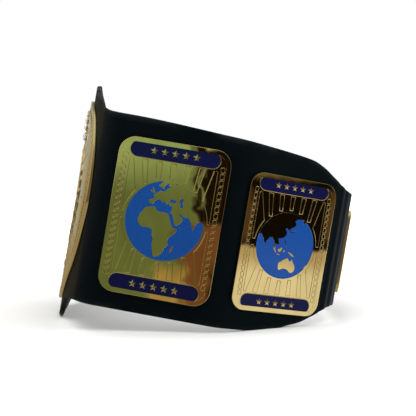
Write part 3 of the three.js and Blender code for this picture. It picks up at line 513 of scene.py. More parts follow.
FRONT_LEFT_LANDS = (AFRICA, EUROPE_AND_WEST_ASIA, BRITAIN, IRELAND, MADAGASCAR)
FRONT_LEFT_SEAS = (BLACK_SEA, CASPIAN, WHITE_SEA)
REAR_LEFT_LANDS = (
    EAST_ASIA, JAPAN, PHILIPPINES, MINDANAO, BORNEO, SUMATRA, MALAY_PENINSULA, JAVA, SULAWESI,
    NEW_GUINEA, AUSTRALIA, NEW_ZEALAND,
)


def soften(outline, rounds=2, bite=0.22):
    """Corners of a closed outline cut twice, so that it reads as engraved."""
    points = np.asarray(outline, float)
    for _ in range(rounds):
        after = np.roll(points, -1, 0)
        points = np.stack([points + (after - points) * bite, after - (after - points) * bite], 1)
        points = points.reshape(-1, 2)
    return points


def turned_left(outline):
    """The outline in counter-clockwise order."""
    x, y = outline[:, 0], outline[:, 1]
    area = (x * np.roll(y, -1) - y * np.roll(x, -1)).sum()
    return outline if area > 0 else outline[::-1]


LAND_BEVEL = 0.06


def land(parts, coast, radius, along, up, top, seas=(), fit=(1.0, 0.0, 0.0), cuts=()):
    """Land that stands in the enamel, held inside the globe's edge."""
    scale, across, rise = fit

    def place(outline):
        points = fine_line(soften(np.array(outline, float)), 3.0, True)
        points = points * scale + np.array([across, rise])
        reach = np.linalg.norm(points, axis=1, keepdims=True)
        points = points * np.minimum(1, 100 / np.maximum(reach, 1e-6))
        keep = np.linalg.norm(points - np.roll(points, 1, 0), axis=1) > 0.05
        return turned_left(points[keep] * radius / 100 + np.array([along, up]))

    outline = place(coast)
    inner = shrink(outline, LAND_BEVEL)
    edge = top - LAND_BEVEL
    stack_rings(parts, [(outline, ENAMEL_FLOOR), (outline, edge), (inner, top)])
    shores = []
    for lake in map(place, seas):
        shores.append(shrink(lake, -LAND_BEVEL))
        stack_rings(parts, [(shores[-1], top), (lake, edge), (lake, ENAMEL_FLOOR)])
    flat_face(parts, inner, top, shores, cuts)


def star(parts, along, up, reach, base, rise):
    """A small plain raised star with a ridge to each point."""
    points = [(along, up, base + rise)]
    for i in range(10):
        angle = math.radians(90 + 36 * i)
        radius = reach if i % 2 == 0 else reach * 0.42
        points.append((along + radius * math.cos(angle), up + radius * math.sin(angle), base))
    parts.add(points, [(0, i + 1, (i + 1) % 10 + 1) for i in range(10)])


def banner_outline(length, height, along, up, steps=14):
    points = []
    for side in (1, -1):
        for i in range(steps + 1):
            angle = math.radians(180 * i / steps - side * 90)
            points.append((
                along + side * (length - height) / 2 + height / 2 * math.cos(angle),
                up + height / 2 * math.sin(angle),
            ))
    return np.array(points)


def chain(parts, path, width, pitch, base, rise, closed=False):
    """Links of a fine chain along a path: open oblong rings joined by short bars."""
    path = fine_line(path, 1.0, closed)
    if closed:
        path = np.vstack([path, path[:1]])
    reach = np.concatenate([[0], np.cumsum(np.linalg.norm(np.diff(path, axis=0), axis=1))])
    count = max(2, round(reach[-1] / pitch))
    step = reach[-1] / count

    def on_path(distance, aside):
        distance = np.mod(distance, reach[-1]) if closed else np.clip(distance, 0, reach[-1])
        here = np.stack([np.interp(distance, reach, path[:, k]) for k in (0, 1)], 1)
        ahead = np.minimum(distance + 0.5, reach[-1])
        behind = np.maximum(distance - 0.5, 0)
        way = np.stack([np.interp(ahead, reach, path[:, k]) - np.interp(behind, reach, path[:, k])
                        for k in (0, 1)], 1)
        way = way / np.linalg.norm(way, axis=1, keepdims=True)
        return here + np.stack([-way[:, 1], way[:, 0]], 1) * aside[:, None]

    link = rounded_rectangle(step * 0.78, width, width * 0.22, steps=3)
    for i in range(count):
        middle = step * (i + 0.5)
        ridge(parts, on_path(middle + link[:, 0], link[:, 1]), 0.6, rise, base, True, 3.0)
        if i or closed:
            bar = np.array([-0.16, 0.16]) * step
            ridge(parts, on_path(step * i + bar, np.zeros(2)), 0.6, rise * 0.9, base)


# Side plates, in the front plate's millimetres, which the rear plate scales by its width
BANNER_HEIGHT_SHARE = 0.101
BANNER_LENGTH_SHARE = 0.798
BANNER_UP_SHARE = 0.427
BAR_PITCH = 13
BAR_HEAD_HALF = 2.6
BAR_ROOT_HALF = 1.7
BARS_MEET = -115.0
LINE_WIDTH = 0.8
THIN_LINE_WIDTH = 0.6
ARC_GAP = 2.6
OUTER_RAY = 36.5
UPRIGHT_INSET = 4.3
LINK_WIDTH = 3.4
LINK_PITCH = 6.0
LINK_RISE = 0.26
BANNER_STAR_PITCH = 9.6
BANNER_STAR_REACH = 3.6
BANNER_STAR_RISE = 0.4


def plate_inset(size, along):
    """The outline of a side or tail plate, moved inwards by any distance."""
    def inset(distance):
        return rounded_rectangle(
            size["width"] - 2 * distance, size["height"] - 2 * distance,
            max(size["corner"] - distance, 1), along, size["up"])

    return inset


def side_bar(globe, head_at, head_up, half, share):
    """Outline of one narrow bar that points at the globe."""
    slope = head_at / (head_up - BARS_MEET)
    root_up = math.sqrt(max((globe + 2.2) ** 2 - (head_at * 0.9) ** 2, 0))
    root_at = head_at - slope * (head_up - root_up)
    wide, narrow = BAR_HEAD_HALF * share, BAR_ROOT_HALF * share
    return np.array([
        (head_at - wide, half * head_up), (head_at + wide, half * head_up),
        (root_at + narrow, half * root_up), (root_at - narrow, half * root_up),
    ])


def star_row(parts, along, up, count, pitch, reach, rise):
    """Small stars side by side in a banner's enamel."""
    for i in range(count):
        star(parts, along + (i - (count - 1) / 2) * pitch, up, reach, ENAMEL_TOP - 0.05, rise)


def enamel_fill(name, inset, steps, material, slot, node):
    """A poured inlay, a little hollow, with a meniscus at its edge."""
    parts = Parts()
    rings = [(inset(step), ENAMEL_TOP + out) for step, out in zip(steps, MENISCUS)]
    stack_rings(parts, rings, True)
    make_piece(name, parts, material, slot, [node])


def side_plate(name, size, lands, seas, along):
    width, up, globe, line_rise = (size[key] for key in ("width", "up", "globe", "line_rise"))
    share = width / FRONT_PLATE["width"]
    banner_length = width * BANNER_LENGTH_SHARE
    banner_height = size["height"] * BANNER_HEIGHT_SHARE
    banner_up = size["height"] * BANNER_UP_SHARE
    middle = np.array([along, up])
    sea = circle(globe, along, up)
    banners = [banner_outline(banner_length, banner_height, along, up + half * banner_up)
               for half in (1, -1)]
    parts = Parts()
    plate_body(parts, plate_inset(size, along), [sea, *banners])

    # Relief lines: banner borders, bars, bent rays beside the globe and uprights inside the chain
    for banner in banners:
        ridge(parts, shrink(banner, -0.3), 0.7, 0.22, FIELD_TOP, True, 5.0)
    head_up = banner_up - banner_height / 2 - 1.6
    edge = width / 2 - CHAIN_INSET - UPRIGHT_INSET * share
    for half in (1, -1):
        for i in range(5):
            bar = side_bar(globe, (i - 2) * BAR_PITCH * share, head_up, half, share)
            ridge(parts, middle + bar, LINE_WIDTH, line_rise, FIELD_TOP, True, 5.0)
        for side in (1, -1):
            ring = globe + ARC_GAP
            arc = [(side * ring * math.cos(a), half * ring * math.sin(a))
                   for a in map(math.radians, np.linspace(37, 5, 7))]
            foot = (side * edge, half * 3.0)
            ray = [(side * OUTER_RAY * share, half * head_up), *arc]
            upright = [foot, (side * edge, half * (head_up - 1.0)),
                       (side * (edge - 1.6), half * (head_up + 0.4))]
            for line, line_width in ((ray, LINE_WIDTH), (upright, THIN_LINE_WIDTH),
                                     ([arc[-1], foot], THIN_LINE_WIDTH)):
                ridge(parts, middle + np.array(line), line_width, line_rise)

    # Chains, whose ends bow inwards beside the banners
    line = width / 2 - CHAIN_INSET
    bow_up = banner_up - banner_height * 0.55
    end = (line - 0.8 * share, bow_up + banner_height * 0.25)
    upper = [(line, 0), (line, bow_up - 5), (line - 0.3, bow_up), end]
    path = [(x, -y) for x, y in upper[:0:-1]] + upper
    for side in (1, -1):
        chain(parts, middle + np.array(path) * (side, 1), LINK_WIDTH * share, LINK_PITCH * share,
              FIELD_TOP, LINK_RISE)

    for number, coast in enumerate(lands):
        land(parts, coast, globe, along, up, FIELD_TOP + 0.05, seas if number == 1 else ())
    for half in (1, -1):
        star_row(parts, along, up + half * banner_up, 5, BANNER_STAR_PITCH * share,
                 BANNER_STAR_REACH * share, BANNER_STAR_RISE)
    make_piece(name + "_relief_plate", parts, GOLD, "gold", [name + "_plate"])

    enamel_fill(name + "_globe_sea", lambda step: circle(globe - step, along, up),
                (0.02, 0.5, 1.5), SEA_ENAMEL, "sea_enamel", name + "_globe_enamel")
    for banner, which in zip(banners, ("upper", "lower")):
        enamel_fill(f"{name}_{which}_banner_fill", lambda step: shrink(banner, step),
                    (0.02, 0.5, 1.2), NAVY_ENAMEL, "navy_enamel", f"{name}_{which}_banner_enamel")
    stud_heads(name, [(along, up + half * (size["height"] / 2 - STUD_INSET)) for half in (1, -1)])


STUD_RADIUS = 2.0
STUD_HEAD_RADIUS = 4.6
STUD_HEAD_THICKNESS = 1.3
STUD_INSET = 17.0
TAIL_STUD_INSET = 10.7
MAIN_STUDS = ((-65.0, 10.5), (65.0, 10.5))


def stud_heads(name, places):
    """Domed heads of the plate's studs on the inside of the leather."""
    parts = Parts()
    seat = -LEATHER_THICKNESS - SEAT_GAP
    rows = [(STUD_HEAD_RADIUS, seat), (STUD_HEAD_RADIUS, seat - 0.5),
            (STUD_HEAD_RADIUS - 0.4, seat - 0.9),
            (STUD_HEAD_RADIUS - 1.4, seat - STUD_HEAD_THICKNESS),
            (0.6, seat - STUD_HEAD_THICKNESS)]
    for along, up in places:
        dome(parts, rows, along, up)
        dome(parts, [(STUD_RADIUS, seat), (STUD_RADIUS, SEAT_GAP)], along, up, 16)
    make_piece(name + "_studs", parts, GOLD, "gold")


# Main plate
MAIN_HALF_WIDTH = 111.0
MAIN_TOP = 104.5
MAIN_FOOT = 99.4
MAIN_GLOBE = 40.0
MAIN_GLOBE_UP = 2.0
MAIN_BANNER_HEIGHT = 13.5
CREST_BANNER = (62.0, 57.5)
FOOT_BANNER = (86.0, -61.0)
MAIN_STARS = {"pitch": 10.4, "reach": 4.0, "rise": 0.8}
LAUREL_RADIUS = 62
LAUREL_TURNS = [-40 + 87 * i / 8 for i in range(9)]
# A laurel leaf: aside from the stem, spread and lead in degrees, length, width, rise
LAUREL_LEAVES = ((-5.2, -26, 3, 15, 5.6, 1.0), (5.2, 26, 3, 15, 5.6, 1.0), (0, 0, 7, 13, 5.0, 1.3))
LEAF_RIB = ((-1, 0.0), (-0.55, 0.62), (-0.12, 0.7), (0, 1.0), (0.12, 0.7), (0.55, 0.62), (1, 0.0))
LEAF_ROOT = 0.2
RAY_START = 76
RAY_ENDS = (88, 96)
# The Americas on the main globe: size, then shift along and up
NORTH_FIT = (0.72, -8, 32)
SOUTH_FIT = (0.62, 22, -44)
CREST_RADIUS = 43.0
CREST_CENTRE_UP = 48.0
CREST_STEP = 16.0
CRYSTAL_COUNT = 9
CRYSTAL_RADIUS = 4.1
CRYSTAL_HEIGHT = 2.6
SEAT_WALL = 0.8
SEAT_RISE = 0.5
MAIN_OUTLINE = (
    (0, 1), (0.43, 0.94), (0.75, 0.785), (0.94, 0.5), (1, 0.07), (0.95, -0.21), (0.83, -0.51),
    (0.59, -0.745), (0.34, -0.93), (0, -1),
)


def closed_curve(points, steps):
    """A smooth closed curve through the points, with even steps."""
    points = np.asarray(points, float)
    count = len(points)
    made = []
    for i in range(count):
        p = [points[(i + k) % count] for k in (-1, 0, 1, 2)]
        gaps = [max(np.linalg.norm(p[k + 1] - p[k]) ** 0.5, 1e-6) for k in range(3)]
        knots = np.cumsum([0, *gaps])

        def between(first, last, start, end, t):
            return ((knots[end] - t) / (knots[end] - knots[start]) * first
                    + (t - knots[start]) / (knots[end] - knots[start]) * last)

        for t in np.linspace(knots[1], knots[2], 24, endpoint=False):
            a = [between(p[k], p[k + 1], k, k + 1, t) for k in range(3)]
            b = [between(a[k], a[k + 1], k, k + 2, t) for k in range(2)]
            made.append(between(b[0], b[1], 1, 2, t))
    made = np.array(made + made[:1])
    reach = np.concatenate([[0], np.cumsum(np.linalg.norm(np.diff(made, axis=0), axis=1))])
    even = np.linspace(0, reach[-1], steps, endpoint=False)
    return np.stack([np.interp(even, reach, made[:, k]) for k in (0, 1)], 1)


def leaf(parts, along, up, angle, length, width, rise):
    """A domed laurel leaf with a raised rib."""
    rows, across = 9, len(LEAF_RIB)
    cos, sin = math.cos(angle), math.sin(angle)
    points, faces = [], []
    for i in range(rows):
        t = i / (rows - 1)
        half = width / 2 * math.sin(math.pi * t ** 0.8) ** 0.85 + 0.05
        for side, height in LEAF_RIB:
            x, y = (t - 0.5) * length, side * half
            lift = (rise + LEAF_ROOT) * height * min(1, 4 * t + 0.25, 5 * (1 - t) + 0.12)
            out = FIELD_TOP - LEAF_ROOT + lift
            points.append((along + x * cos - y * sin, up + x * sin + y * cos, out))
    for i in range(rows - 1):
        for k in range(across - 1):
            a = i * across + k
            faces.append((a, a + across, a + across + 1, a + 1))
    parts.add(points, faces)


def crest_places():
    for i in range(CRYSTAL_COUNT):
        angle = math.radians((i - (CRYSTAL_COUNT - 1) / 2) * CREST_STEP)
        yield CREST_RADIUS * math.sin(angle), CREST_CENTRE_UP + CREST_RADIUS * math.cos(angle)


def laurel(parts):
    """Two branches round the globe, with three leaves at each place on their stems."""
    for side in (1, -1):
        stem = []
        for turn in LAUREL_TURNS:
            turn = math.radians(turn)
            angle = turn if side > 0 else math.pi - turn
            stem.append((LAUREL_RADIUS * math.cos(angle),
                         LAUREL_RADIUS * math.sin(angle) + MAIN_GLOBE_UP))
            for aside, spread, lead, length, width, rise in LAUREL_LEAVES:
                radius = LAUREL_RADIUS + aside
                place = angle + side * math.radians(lead)
                leaf(parts, radius * math.cos(place), radius * math.sin(place) + MAIN_GLOBE_UP,
                     angle + side * math.radians(90 - spread), length, width, rise)
        ridge(parts, np.array(stem), 1.4, 0.8)


def stone_seats(parts):
    """A round seat with four claws for each stone."""
    outer, top = CRYSTAL_RADIUS + SEAT_WALL, FIELD_TOP + SEAT_RISE
    seat = [(outer + 0.3, FIELD_TOP - 0.1), (outer, FIELD_TOP + 0.3), (outer, top + 0.25),
            (outer - 0.25, top + 0.45), (CRYSTAL_RADIUS + 0.1, top + 0.4),
            (CRYSTAL_RADIUS, top - 0.1)]
    claw = [(0.62, FIELD_TOP), (0.62, top + 1.1), (0.5, top + 1.4), (0.2, top + 1.55)]
    for along, up in crest_places():
        dome(parts, seat, along, up)
        for angle in map(math.radians, (45, 135, 225, 315)):
            dome(parts, claw, along + outer * 0.93 * math.cos(angle),
                 up + outer * 0.93 * math.sin(angle), 10)


def main_plate():
    half = [(x * MAIN_HALF_WIDTH, y * (MAIN_TOP if y > 0 else MAIN_FOOT)) for x, y in MAIN_OUTLINE]
    whole = half + [(-x, y) for x, y in half[1:-1][::-1]]
    outline = turned_left(closed_curve(whole, 220))
    cuts = np.arange(-108, 109, 6.0)
    parts = Parts()

    def inset(distance):
        return shrink(outline, distance)

    def ring(distance, steps=96):
        return circle(MAIN_GLOBE + distance, 0, MAIN_GLOBE_UP, steps)

    banners = [fine_line(banner_outline(length, MAIN_BANNER_HEIGHT, 0, up), 5.0, True)
               for length, up in (CREST_BANNER, FOOT_BANNER)]
    plate_body(parts, inset, [ring(0), *banners], cuts)
    for banner in banners:
        ridge(parts, shrink(banner, -0.35), 0.9, 0.3, FIELD_TOP, True)
    ridge(parts, ring(0.5, 72), 1.0, 0.3, FIELD_TOP, True)
    ridge(parts, ring(3.4, 80), 0.8, 0.25, FIELD_TOP, True)
    chain(parts, inset(CHAIN_INSET + 0.3), 3.6, 6.2, FIELD_TOP, 0.3, True)
    ridge(parts, inset(CHAIN_INSET + 3.6), 0.7, 0.22, FIELD_TOP, True)
    laurel(parts)

    # Rays from the globe to the border
    for i in range(36):
        angle = math.radians(10 * i + 5)
        line = np.array([(reach * math.cos(angle), reach * math.sin(angle) * flat + MAIN_GLOBE_UP)
                         for reach, flat in ((RAY_START, 0.93), (RAY_ENDS[i % 2], 0.86))])
        if abs(line[0][0]) > 34:
            ridge(parts, line, 1.2, 0.3)

    for coast, fit in ((NORTH_AMERICA, NORTH_FIT), (GREENLAND, NORTH_FIT), (CUBA, NORTH_FIT),
                       (SOUTH_AMERICA, SOUTH_FIT)):
        land(parts, coast, MAIN_GLOBE, 0, MAIN_GLOBE_UP, FIELD_TOP + 0.1, (), fit, cuts)
    for (_, up), count in ((CREST_BANNER, 5), (FOOT_BANNER, 7)):
        star_row(parts, 0, up, count, **MAIN_STARS)
    stone_seats(parts)
    make_piece("main_relief_plate", parts, GOLD, "gold", ["main_plate"])

    for name, slot, node, edge, material in (
            ("main_globe_sea", "sea_enamel", "main_globe_enamel", ring(-0.02), SEA_ENAMEL),
            ("main_upper_banner_fill", "navy_enamel", "main_upper_banner_enamel",
             shrink(banners[0], 0.02), NAVY_ENAMEL),
            ("main_lower_banner_fill", "navy_enamel", "main_lower_banner_enamel",
             shrink(banners[1], 0.02), NAVY_ENAMEL)):
        fill = Parts()
        flat_face(fill, edge, ENAMEL_TOP - 0.05, (), cuts)
        make_piece(name, fill, material, slot, [node])
    stud_heads("main", MAIN_STUDS)


def crystal(number, along, up):
    """A round stone cut with a table, a crown of kites and a low pavilion."""
    base = FIELD_TOP + SEAT_RISE + 0.15
    girdle = base + CRYSTAL_HEIGHT * 0.3
    top = base + CRYSTAL_HEIGHT
    # Each row: radius, height, corners and turn
    rows = (
        (CRYSTAL_RADIUS * 0.25, base - 0.9, 8, 0.0), (CRYSTAL_RADIUS * 0.72, base - 0.1, 8, 0.5),
        (CRYSTAL_RADIUS, girdle - 0.15, 16, 0.0), (CRYSTAL_RADIUS, girdle + 0.15, 16, 0.0),
        (CRYSTAL_RADIUS * 0.8, girdle + (top - girdle) * 0.6, 8, 0.5),
        (CRYSTAL_RADIUS * 0.56, top, 8, 0.0),
    )
    shape = bmesh.new()
    for radius, out, count, turn in rows:
        for i in range(count):
            angle = 2 * math.pi * (i + turn) / count
            shape.verts.new((along + radius * math.cos(angle), up + radius * math.sin(angle), out))
    bmesh.ops.convex_hull(shape, input=shape.verts)
    bmesh.ops.dissolve_limit(
        shape, angle_limit=math.radians(1), verts=shape.verts, edges=shape.edges)
    shape.verts.index_update()
    parts = Parts()
    parts.add([vertex.co[:] for vertex in shape.verts],
              [[vertex.index for vertex in face.verts] for face in shape.faces])
    shape.free()
    make_piece(f"cut_stone_{number}", parts, CRYSTAL, "crystal", [f"crest_crystal_{number}"], 1.0)


def tail_plate(name, along):
    up, globe = TAIL_PLATE["up"], TAIL_PLATE["globe"]
    inset = plate_inset(TAIL_PLATE, along)
    parts = Parts()
    plate_body(parts, inset, [circle(globe, along, up)])
    ridge(parts, circle(globe + 0.5, along, up, 64), 0.9, 0.25, FIELD_TOP, True)
    ridge(parts, inset(RIM_WIDTH + 2.2), 0.6, 0.22, FIELD_TOP, True, 5.0)
    star(parts, along, up, 12.0, ENAMEL_TOP - 0.05, 1.1)
    make_piece(name + "_relief_plate", parts, GOLD, "gold", [name + "_plate"])
    enamel_fill(name + "_disc", lambda step: circle(globe - step, along, up), (0.02, 0.6, 1.5),
                SEA_ENAMEL, "sea_enamel", name + "_enamel")
    stud_heads(name, [(along, up - TAIL_PLATE["height"] / 2 + TAIL_STUD_INSET)])


SNAP_RADIUS = 6.5
SNAP_RISE = 2.4
SNAP_PITCH = 32.0


def snap_fasteners():
    """Domed caps outside the lapped tails, and flanges inside."""
    inner = -2 * LEATHER_THICKNESS - 2 * SEAT_GAP
    cap = [(SNAP_RADIUS - 0.3, SEAT_GAP), (SNAP_RADIUS, SEAT_GAP + 0.3),
           (SNAP_RADIUS, SEAT_GAP + 0.8), (SNAP_RADIUS - 0.3, SEAT_GAP + 1.2),
           (SNAP_RADIUS * 0.82, SEAT_GAP + 1.75), (SNAP_RADIUS * 0.6, SEAT_GAP + 2.2),
           (SNAP_RADIUS * 0.3, SEAT_GAP + SNAP_RISE), (0.5, SEAT_GAP + SNAP_RISE)]
    flange = [(STUD_HEAD_RADIUS, inner), (STUD_HEAD_RADIUS, inner - 0.6),
              (STUD_HEAD_RADIUS - 0.5, inner - 1.1), (STUD_RADIUS + 0.6, inner - 1.3),
              (STUD_RADIUS, inner - 0.7), (0.4, inner - 0.7)]
    number = 1
    for side in (-1, 1):
        for row in (-1, 0, 1):
            along = HALF_LOOP + side * LAP_LENGTH / 4
            up = row * SNAP_PITCH + (TAIL_TOP - TAIL_FOOT) / 2
            parts = Parts()
            dome(parts, cap, along, up, 32)
            dome(parts, [(STUD_RADIUS, inner), (STUD_RADIUS, SEAT_GAP + 0.4)], along, up, 16)
            dome(parts, flange, along, up, 24)
            make_piece(f"snap_cap_{number}", parts, STEEL, "steel", [f"snap_{number}"])
            number += 1


# Strap, with how far from its middle the tips' wear starts and grows, and how strong wear is
TIPS_START = 104
TIPS_REACH = 12
EDGE_RUB = 0.35
TIP_RUB = 0.45
SECTIONS = 430


def strap():
    """The leather band as one closed shell with rounded edges, flat where it stands."""
    end = HALF_LOOP + LAP_LENGTH / 2
    along = np.linspace(-end, end, SECTIONS)
    top, bottom = strap_edges(along)
    inner = -LEATHER_THICKNESS

    # Round the section: outer face up, over the upper edge, inner face down, round the lower edge
    def face(share, edge):
        return bottom + edge + (top - bottom - 2 * edge) * share

    turn = [(OUTER_EDGE_ROUND * (1 - math.sin(a)), -OUTER_EDGE_ROUND * (1 - math.cos(a)))
            for a in map(math.radians, (22.5, 45, 67.5, 90))]
    turn += [(INNER_EDGE_ROUND * (1 - math.cos(a)), inner + INNER_EDGE_ROUND * (1 - math.sin(a)))
             for a in map(math.radians, (0, 30, 60, 90))]
    section = [(face(share, OUTER_EDGE_ROUND), 0.0) for share in np.linspace(0, 1, 40)]
    section += [(top - drop, out) for drop, out in turn]
    section += [(face(share, INNER_EDGE_ROUND), inner) for share in np.linspace(1, 0, 26)[1:-1]]
    section += [(bottom + rise, out) for rise, out in turn[::-1]]
    ups = np.array([up for up, _ in section]).T
    outs = np.array([np.full(len(along), out) for _, out in section]).T
    count = len(section)
    flat = np.stack([np.repeat(along, count), ups.ravel(), outs.ravel()], 1)
    x, y, up = bend_flat(flat[:, 0], flat[:, 1], flat[:, 2])
    points = lean_back(x, y, np.maximum(up, table_up(y)))
    faces = []
    for i in range(len(along) - 1):
        for j in range(count):
            a, b = i * count + j, i * count + (j + 1) % count
            faces.append((a, a + count, b + count, b))
    faces.append(tuple(range(count)))
    faces.append(tuple(range((len(along) - 1) * count, len(along) * count))[::-1])
    mesh = bpy.data.meshes.new("leather_band")
    mesh.from_pydata(points.tolist(), [], [face[::-1] for face in faces])
    mesh.shade_smooth()

    # Flat places for the grain, and how much the edges and the horns' tips are rubbed
    layer = mesh.uv_layers.new(name="strap")
    corner_points = np.zeros(len(mesh.loops), np.int32)
    mesh.loops.foreach_get("vertex_index", corner_points)
    layer.data.foreach_set("uv", (flat[:, :2][corner_points] / 1000).astype(np.float32).ravel())
    mean = (ups.min(1) + ups.max(1)) / 2
    half = (ups.max(1) - ups.min(1)) / 2
    edge = np.abs(ups - mean[:, None]) - half[:, None]
    tips = smooth_share((np.abs(ups) - TIPS_START) / TIPS_REACH)
    rubbed = np.clip(EDGE_RUB * smooth_share((2.6 + edge) / 2.4) + TIP_RUB * tips, 0, 1)
    wear = mesh.attributes.new("rubbed_edge", "FLOAT", "POINT")
    wear.data.foreach_set("value", rubbed.astype(np.float32).ravel())
    add_piece("leather_band", mesh, LEATHER, "leather", ["leather_strap"])


# Finishes
class Graph:
    """A node tree, with short ways to add its nodes and join them."""

    def __init__(self, tree):
        self.nodes, self.links = tree.nodes, tree.links

    def fill(self, node, inputs):
        """Each input gets its value, or a link where the value is another node's output."""
        for name, value in inputs.items():
            if isinstance(value, bpy.types.NodeSocket):
                self.links.new(value, node.inputs[name])
            else:
                node.inputs[name].default_value = value
        return node

    def add(self, kind, inputs=None):
        return self.fill(self.nodes.new("ShaderNode" + kind), inputs or {})

    def math(self, operation, *values):
        node = self.add("Math")
        node.operation = operation
        return self.fill(node, dict(enumerate(values))).outputs[0]

    def noise(self, place, scale, detail, roughness=0.5):
        inputs = {"Vector": place, "Scale": scale, "Detail": detail, "Roughness": roughness}
        return self.add("TexNoise", inputs).outputs["Fac"]

    def step(self, value, start, end):
        node = self.add("MapRange")
        node.interpolation_type = "SMOOTHSTEP"
        inputs = {"From Min": start, "From Max": end, "Value": value}
        return self.fill(node, inputs).outputs["Result"]

    def mix(self, below, above, share):
        node = self.add("Mix")
        node.data_type = "RGBA"
        colours = [(*c, 1) if isinstance(c, tuple) else c for c in (below, above)]
        inputs = {"A": colours[0], "B": colours[1], "Factor": share}
        return self.fill(node, inputs).outputs["Result"]


def shader(name, inputs):
    material = bpy.data.materials.new(name)
    material.use_nodes = True
    graph = Graph(material.node_tree)
    return material, graph, graph.fill(graph.nodes["Principled BSDF"], inputs)


def polish_group():
    """Soft waves and fine rubbing marks of hand-polished metal or enamel."""
    tree = bpy.data.node_groups.new("polish", "ShaderNodeTree")
    for label, value in (
            ("Smoothness", 0.1), ("Rubbing", 0.05), ("Waves", 0.02), ("Wave Size", 60.0)):
        socket = tree.interface.new_socket(
            name=label, in_out="INPUT", socket_type="NodeSocketFloat")
        socket.default_value = value
    for label, kind in (("Roughness", "NodeSocketFloat"), ("Normal", "NodeSocketVector")):
        tree.interface.new_socket(name=label, in_out="OUTPUT", socket_type=kind)
    graph = Graph(tree)
    given = tree.nodes.new("NodeGroupInput").outputs
    place = graph.add("TexCoord").outputs["Object"]
    bump = graph.add("Bump", {
        "Distance": 0.001, "Strength": given["Waves"],
        "Height": graph.noise(place, given["Wave Size"], 1.0)})
    rubs = graph.noise(place, 45.0, 6.0, 0.65)
    graph.fill(tree.nodes.new("NodeGroupOutput"), {
        "Normal": bump.outputs["Normal"],
        "Roughness": graph.math("MULTIPLY_ADD", rubs, given["Rubbing"], given["Smoothness"])})
    return tree


POLISH = polish_group()


def polished(name, colour, metallic, smoothness, rubbing, waves, wave_size, shine=0.5):
    material, graph, surface = shader(name, {
        "Base Color": (*colour, 1), "Metallic": metallic, "Specular IOR Level": shine})
    effect = graph.add("Group")
    effect.node_tree = POLISH
    graph.fill(effect, {
        "Smoothness": smoothness, "Rubbing": rubbing, "Waves": waves, "Wave Size": wave_size})
    graph.fill(surface, {label: effect.outputs[label] for label in ("Roughness", "Normal")})
    return material


def leather_finish():
    material, graph, surface = shader("smooth black leather", {
        "Specular IOR Level": 0.1, "Specular Tint": (0.45, 0.75, 0.9, 1)})
    strap_map = graph.add("UVMap")
    strap_map.uv_map = "strap"
    flat_place = strap_map.outputs["UV"]
    edge = graph.add("Attribute")
    edge.attribute_name = "rubbed_edge"
    cloud = graph.noise(graph.add("TexCoord").outputs["Object"], 28.0, 5.0)

    # Rubbed edges and horn tips turn grey, broken up by the cloud
    broken = graph.add("MapRange", {"From Min": 0.45, "From Max": 0.7, "Value": cloud})
    worn = graph.math("MULTIPLY", edge.outputs["Fac"], broken.outputs["Result"])
    tint = graph.mix((0.0008, 0.0016, 0.0022), (0.0018, 0.0032, 0.0042), cloud)
    gloss = graph.add("MapRange", {"To Min": 0.44, "To Max": 0.64, "Value": cloud})

    grain = graph.add("TexVoronoi", {"Scale": 900.0, "Vector": flat_place})
    fine = graph.add("Bump", {
        "Strength": 0.12, "Distance": 0.0003, "Height": grain.outputs["Distance"]})
    broad = graph.add("Bump", {
        "Strength": 0.25, "Distance": 0.001, "Height": graph.noise(flat_place, 60.0, 3.0),
        "Normal": fine.outputs["Normal"]})
    graph.fill(surface, {
        "Base Color": graph.mix(tint, (0.06, 0.064, 0.068), worn),
        "Roughness": gloss.outputs["Result"], "Normal": broad.outputs["Normal"]})
    return material


GOLD = polished("polished gilt", (0.83, 0.66, 0.30), 1.0, 0.012, 0.012, 0.02, 60.0)
SEA_ENAMEL = polished("sea blue enamel", (0.004, 0.052, 0.24), 0.0, 0.08, 0.06, 0.01, 90.0, 0.4)
NAVY_ENAMEL = polished("navy enamel", (0.004, 0.005, 0.036), 0.0, 0.08, 0.06, 0.01, 90.0, 0.1)
STEEL = polished("snap steel", (0.62, 0.62, 0.64), 1.0, 0.16, 0.12, 0.02, 120.0)
LEATHER = leather_finish()
CRYSTAL = shader("cut clear stone", {
    "Base Color": (0.96, 0.98, 1.0, 1), "Roughness": 0.01, "IOR": 1.9,
    "Transmission Weight": 0.35})[0]

FRONT_MIDDLE = (FRONT_PLATE_START + FRONT_PLATE_END) / 2
REAR_MIDDLE = (REAR_PLATE_START + REAR_PLATE_END) / 2
TAIL_MIDDLE = (TAIL_PLATE_START + TAIL_PLATE_END) / 2
strap()
main_plate()
for number, (along, up) in enumerate(crest_places(), 1):
    crystal(number, along, up)
side_plate("left_front", FRONT_PLATE, FRONT_LEFT_LANDS, FRONT_LEFT_SEAS, FRONT_MIDDLE)
side_plate("left_rear", REAR_PLATE, REAR_LEFT_LANDS, (), REAR_MIDDLE)
side_plate("right_front", FRONT_PLATE, (NORTH_AMERICA, GREENLAND, CUBA), (), -FRONT_MIDDLE)
side_plate("right_rear", REAR_PLATE, (SOUTH_AMERICA,), (), -REAR_MIDDLE)
tail_plate("left_tail", TAIL_MIDDLE)
tail_plate("right_tail", -TAIL_MIDDLE)
snap_fasteners()

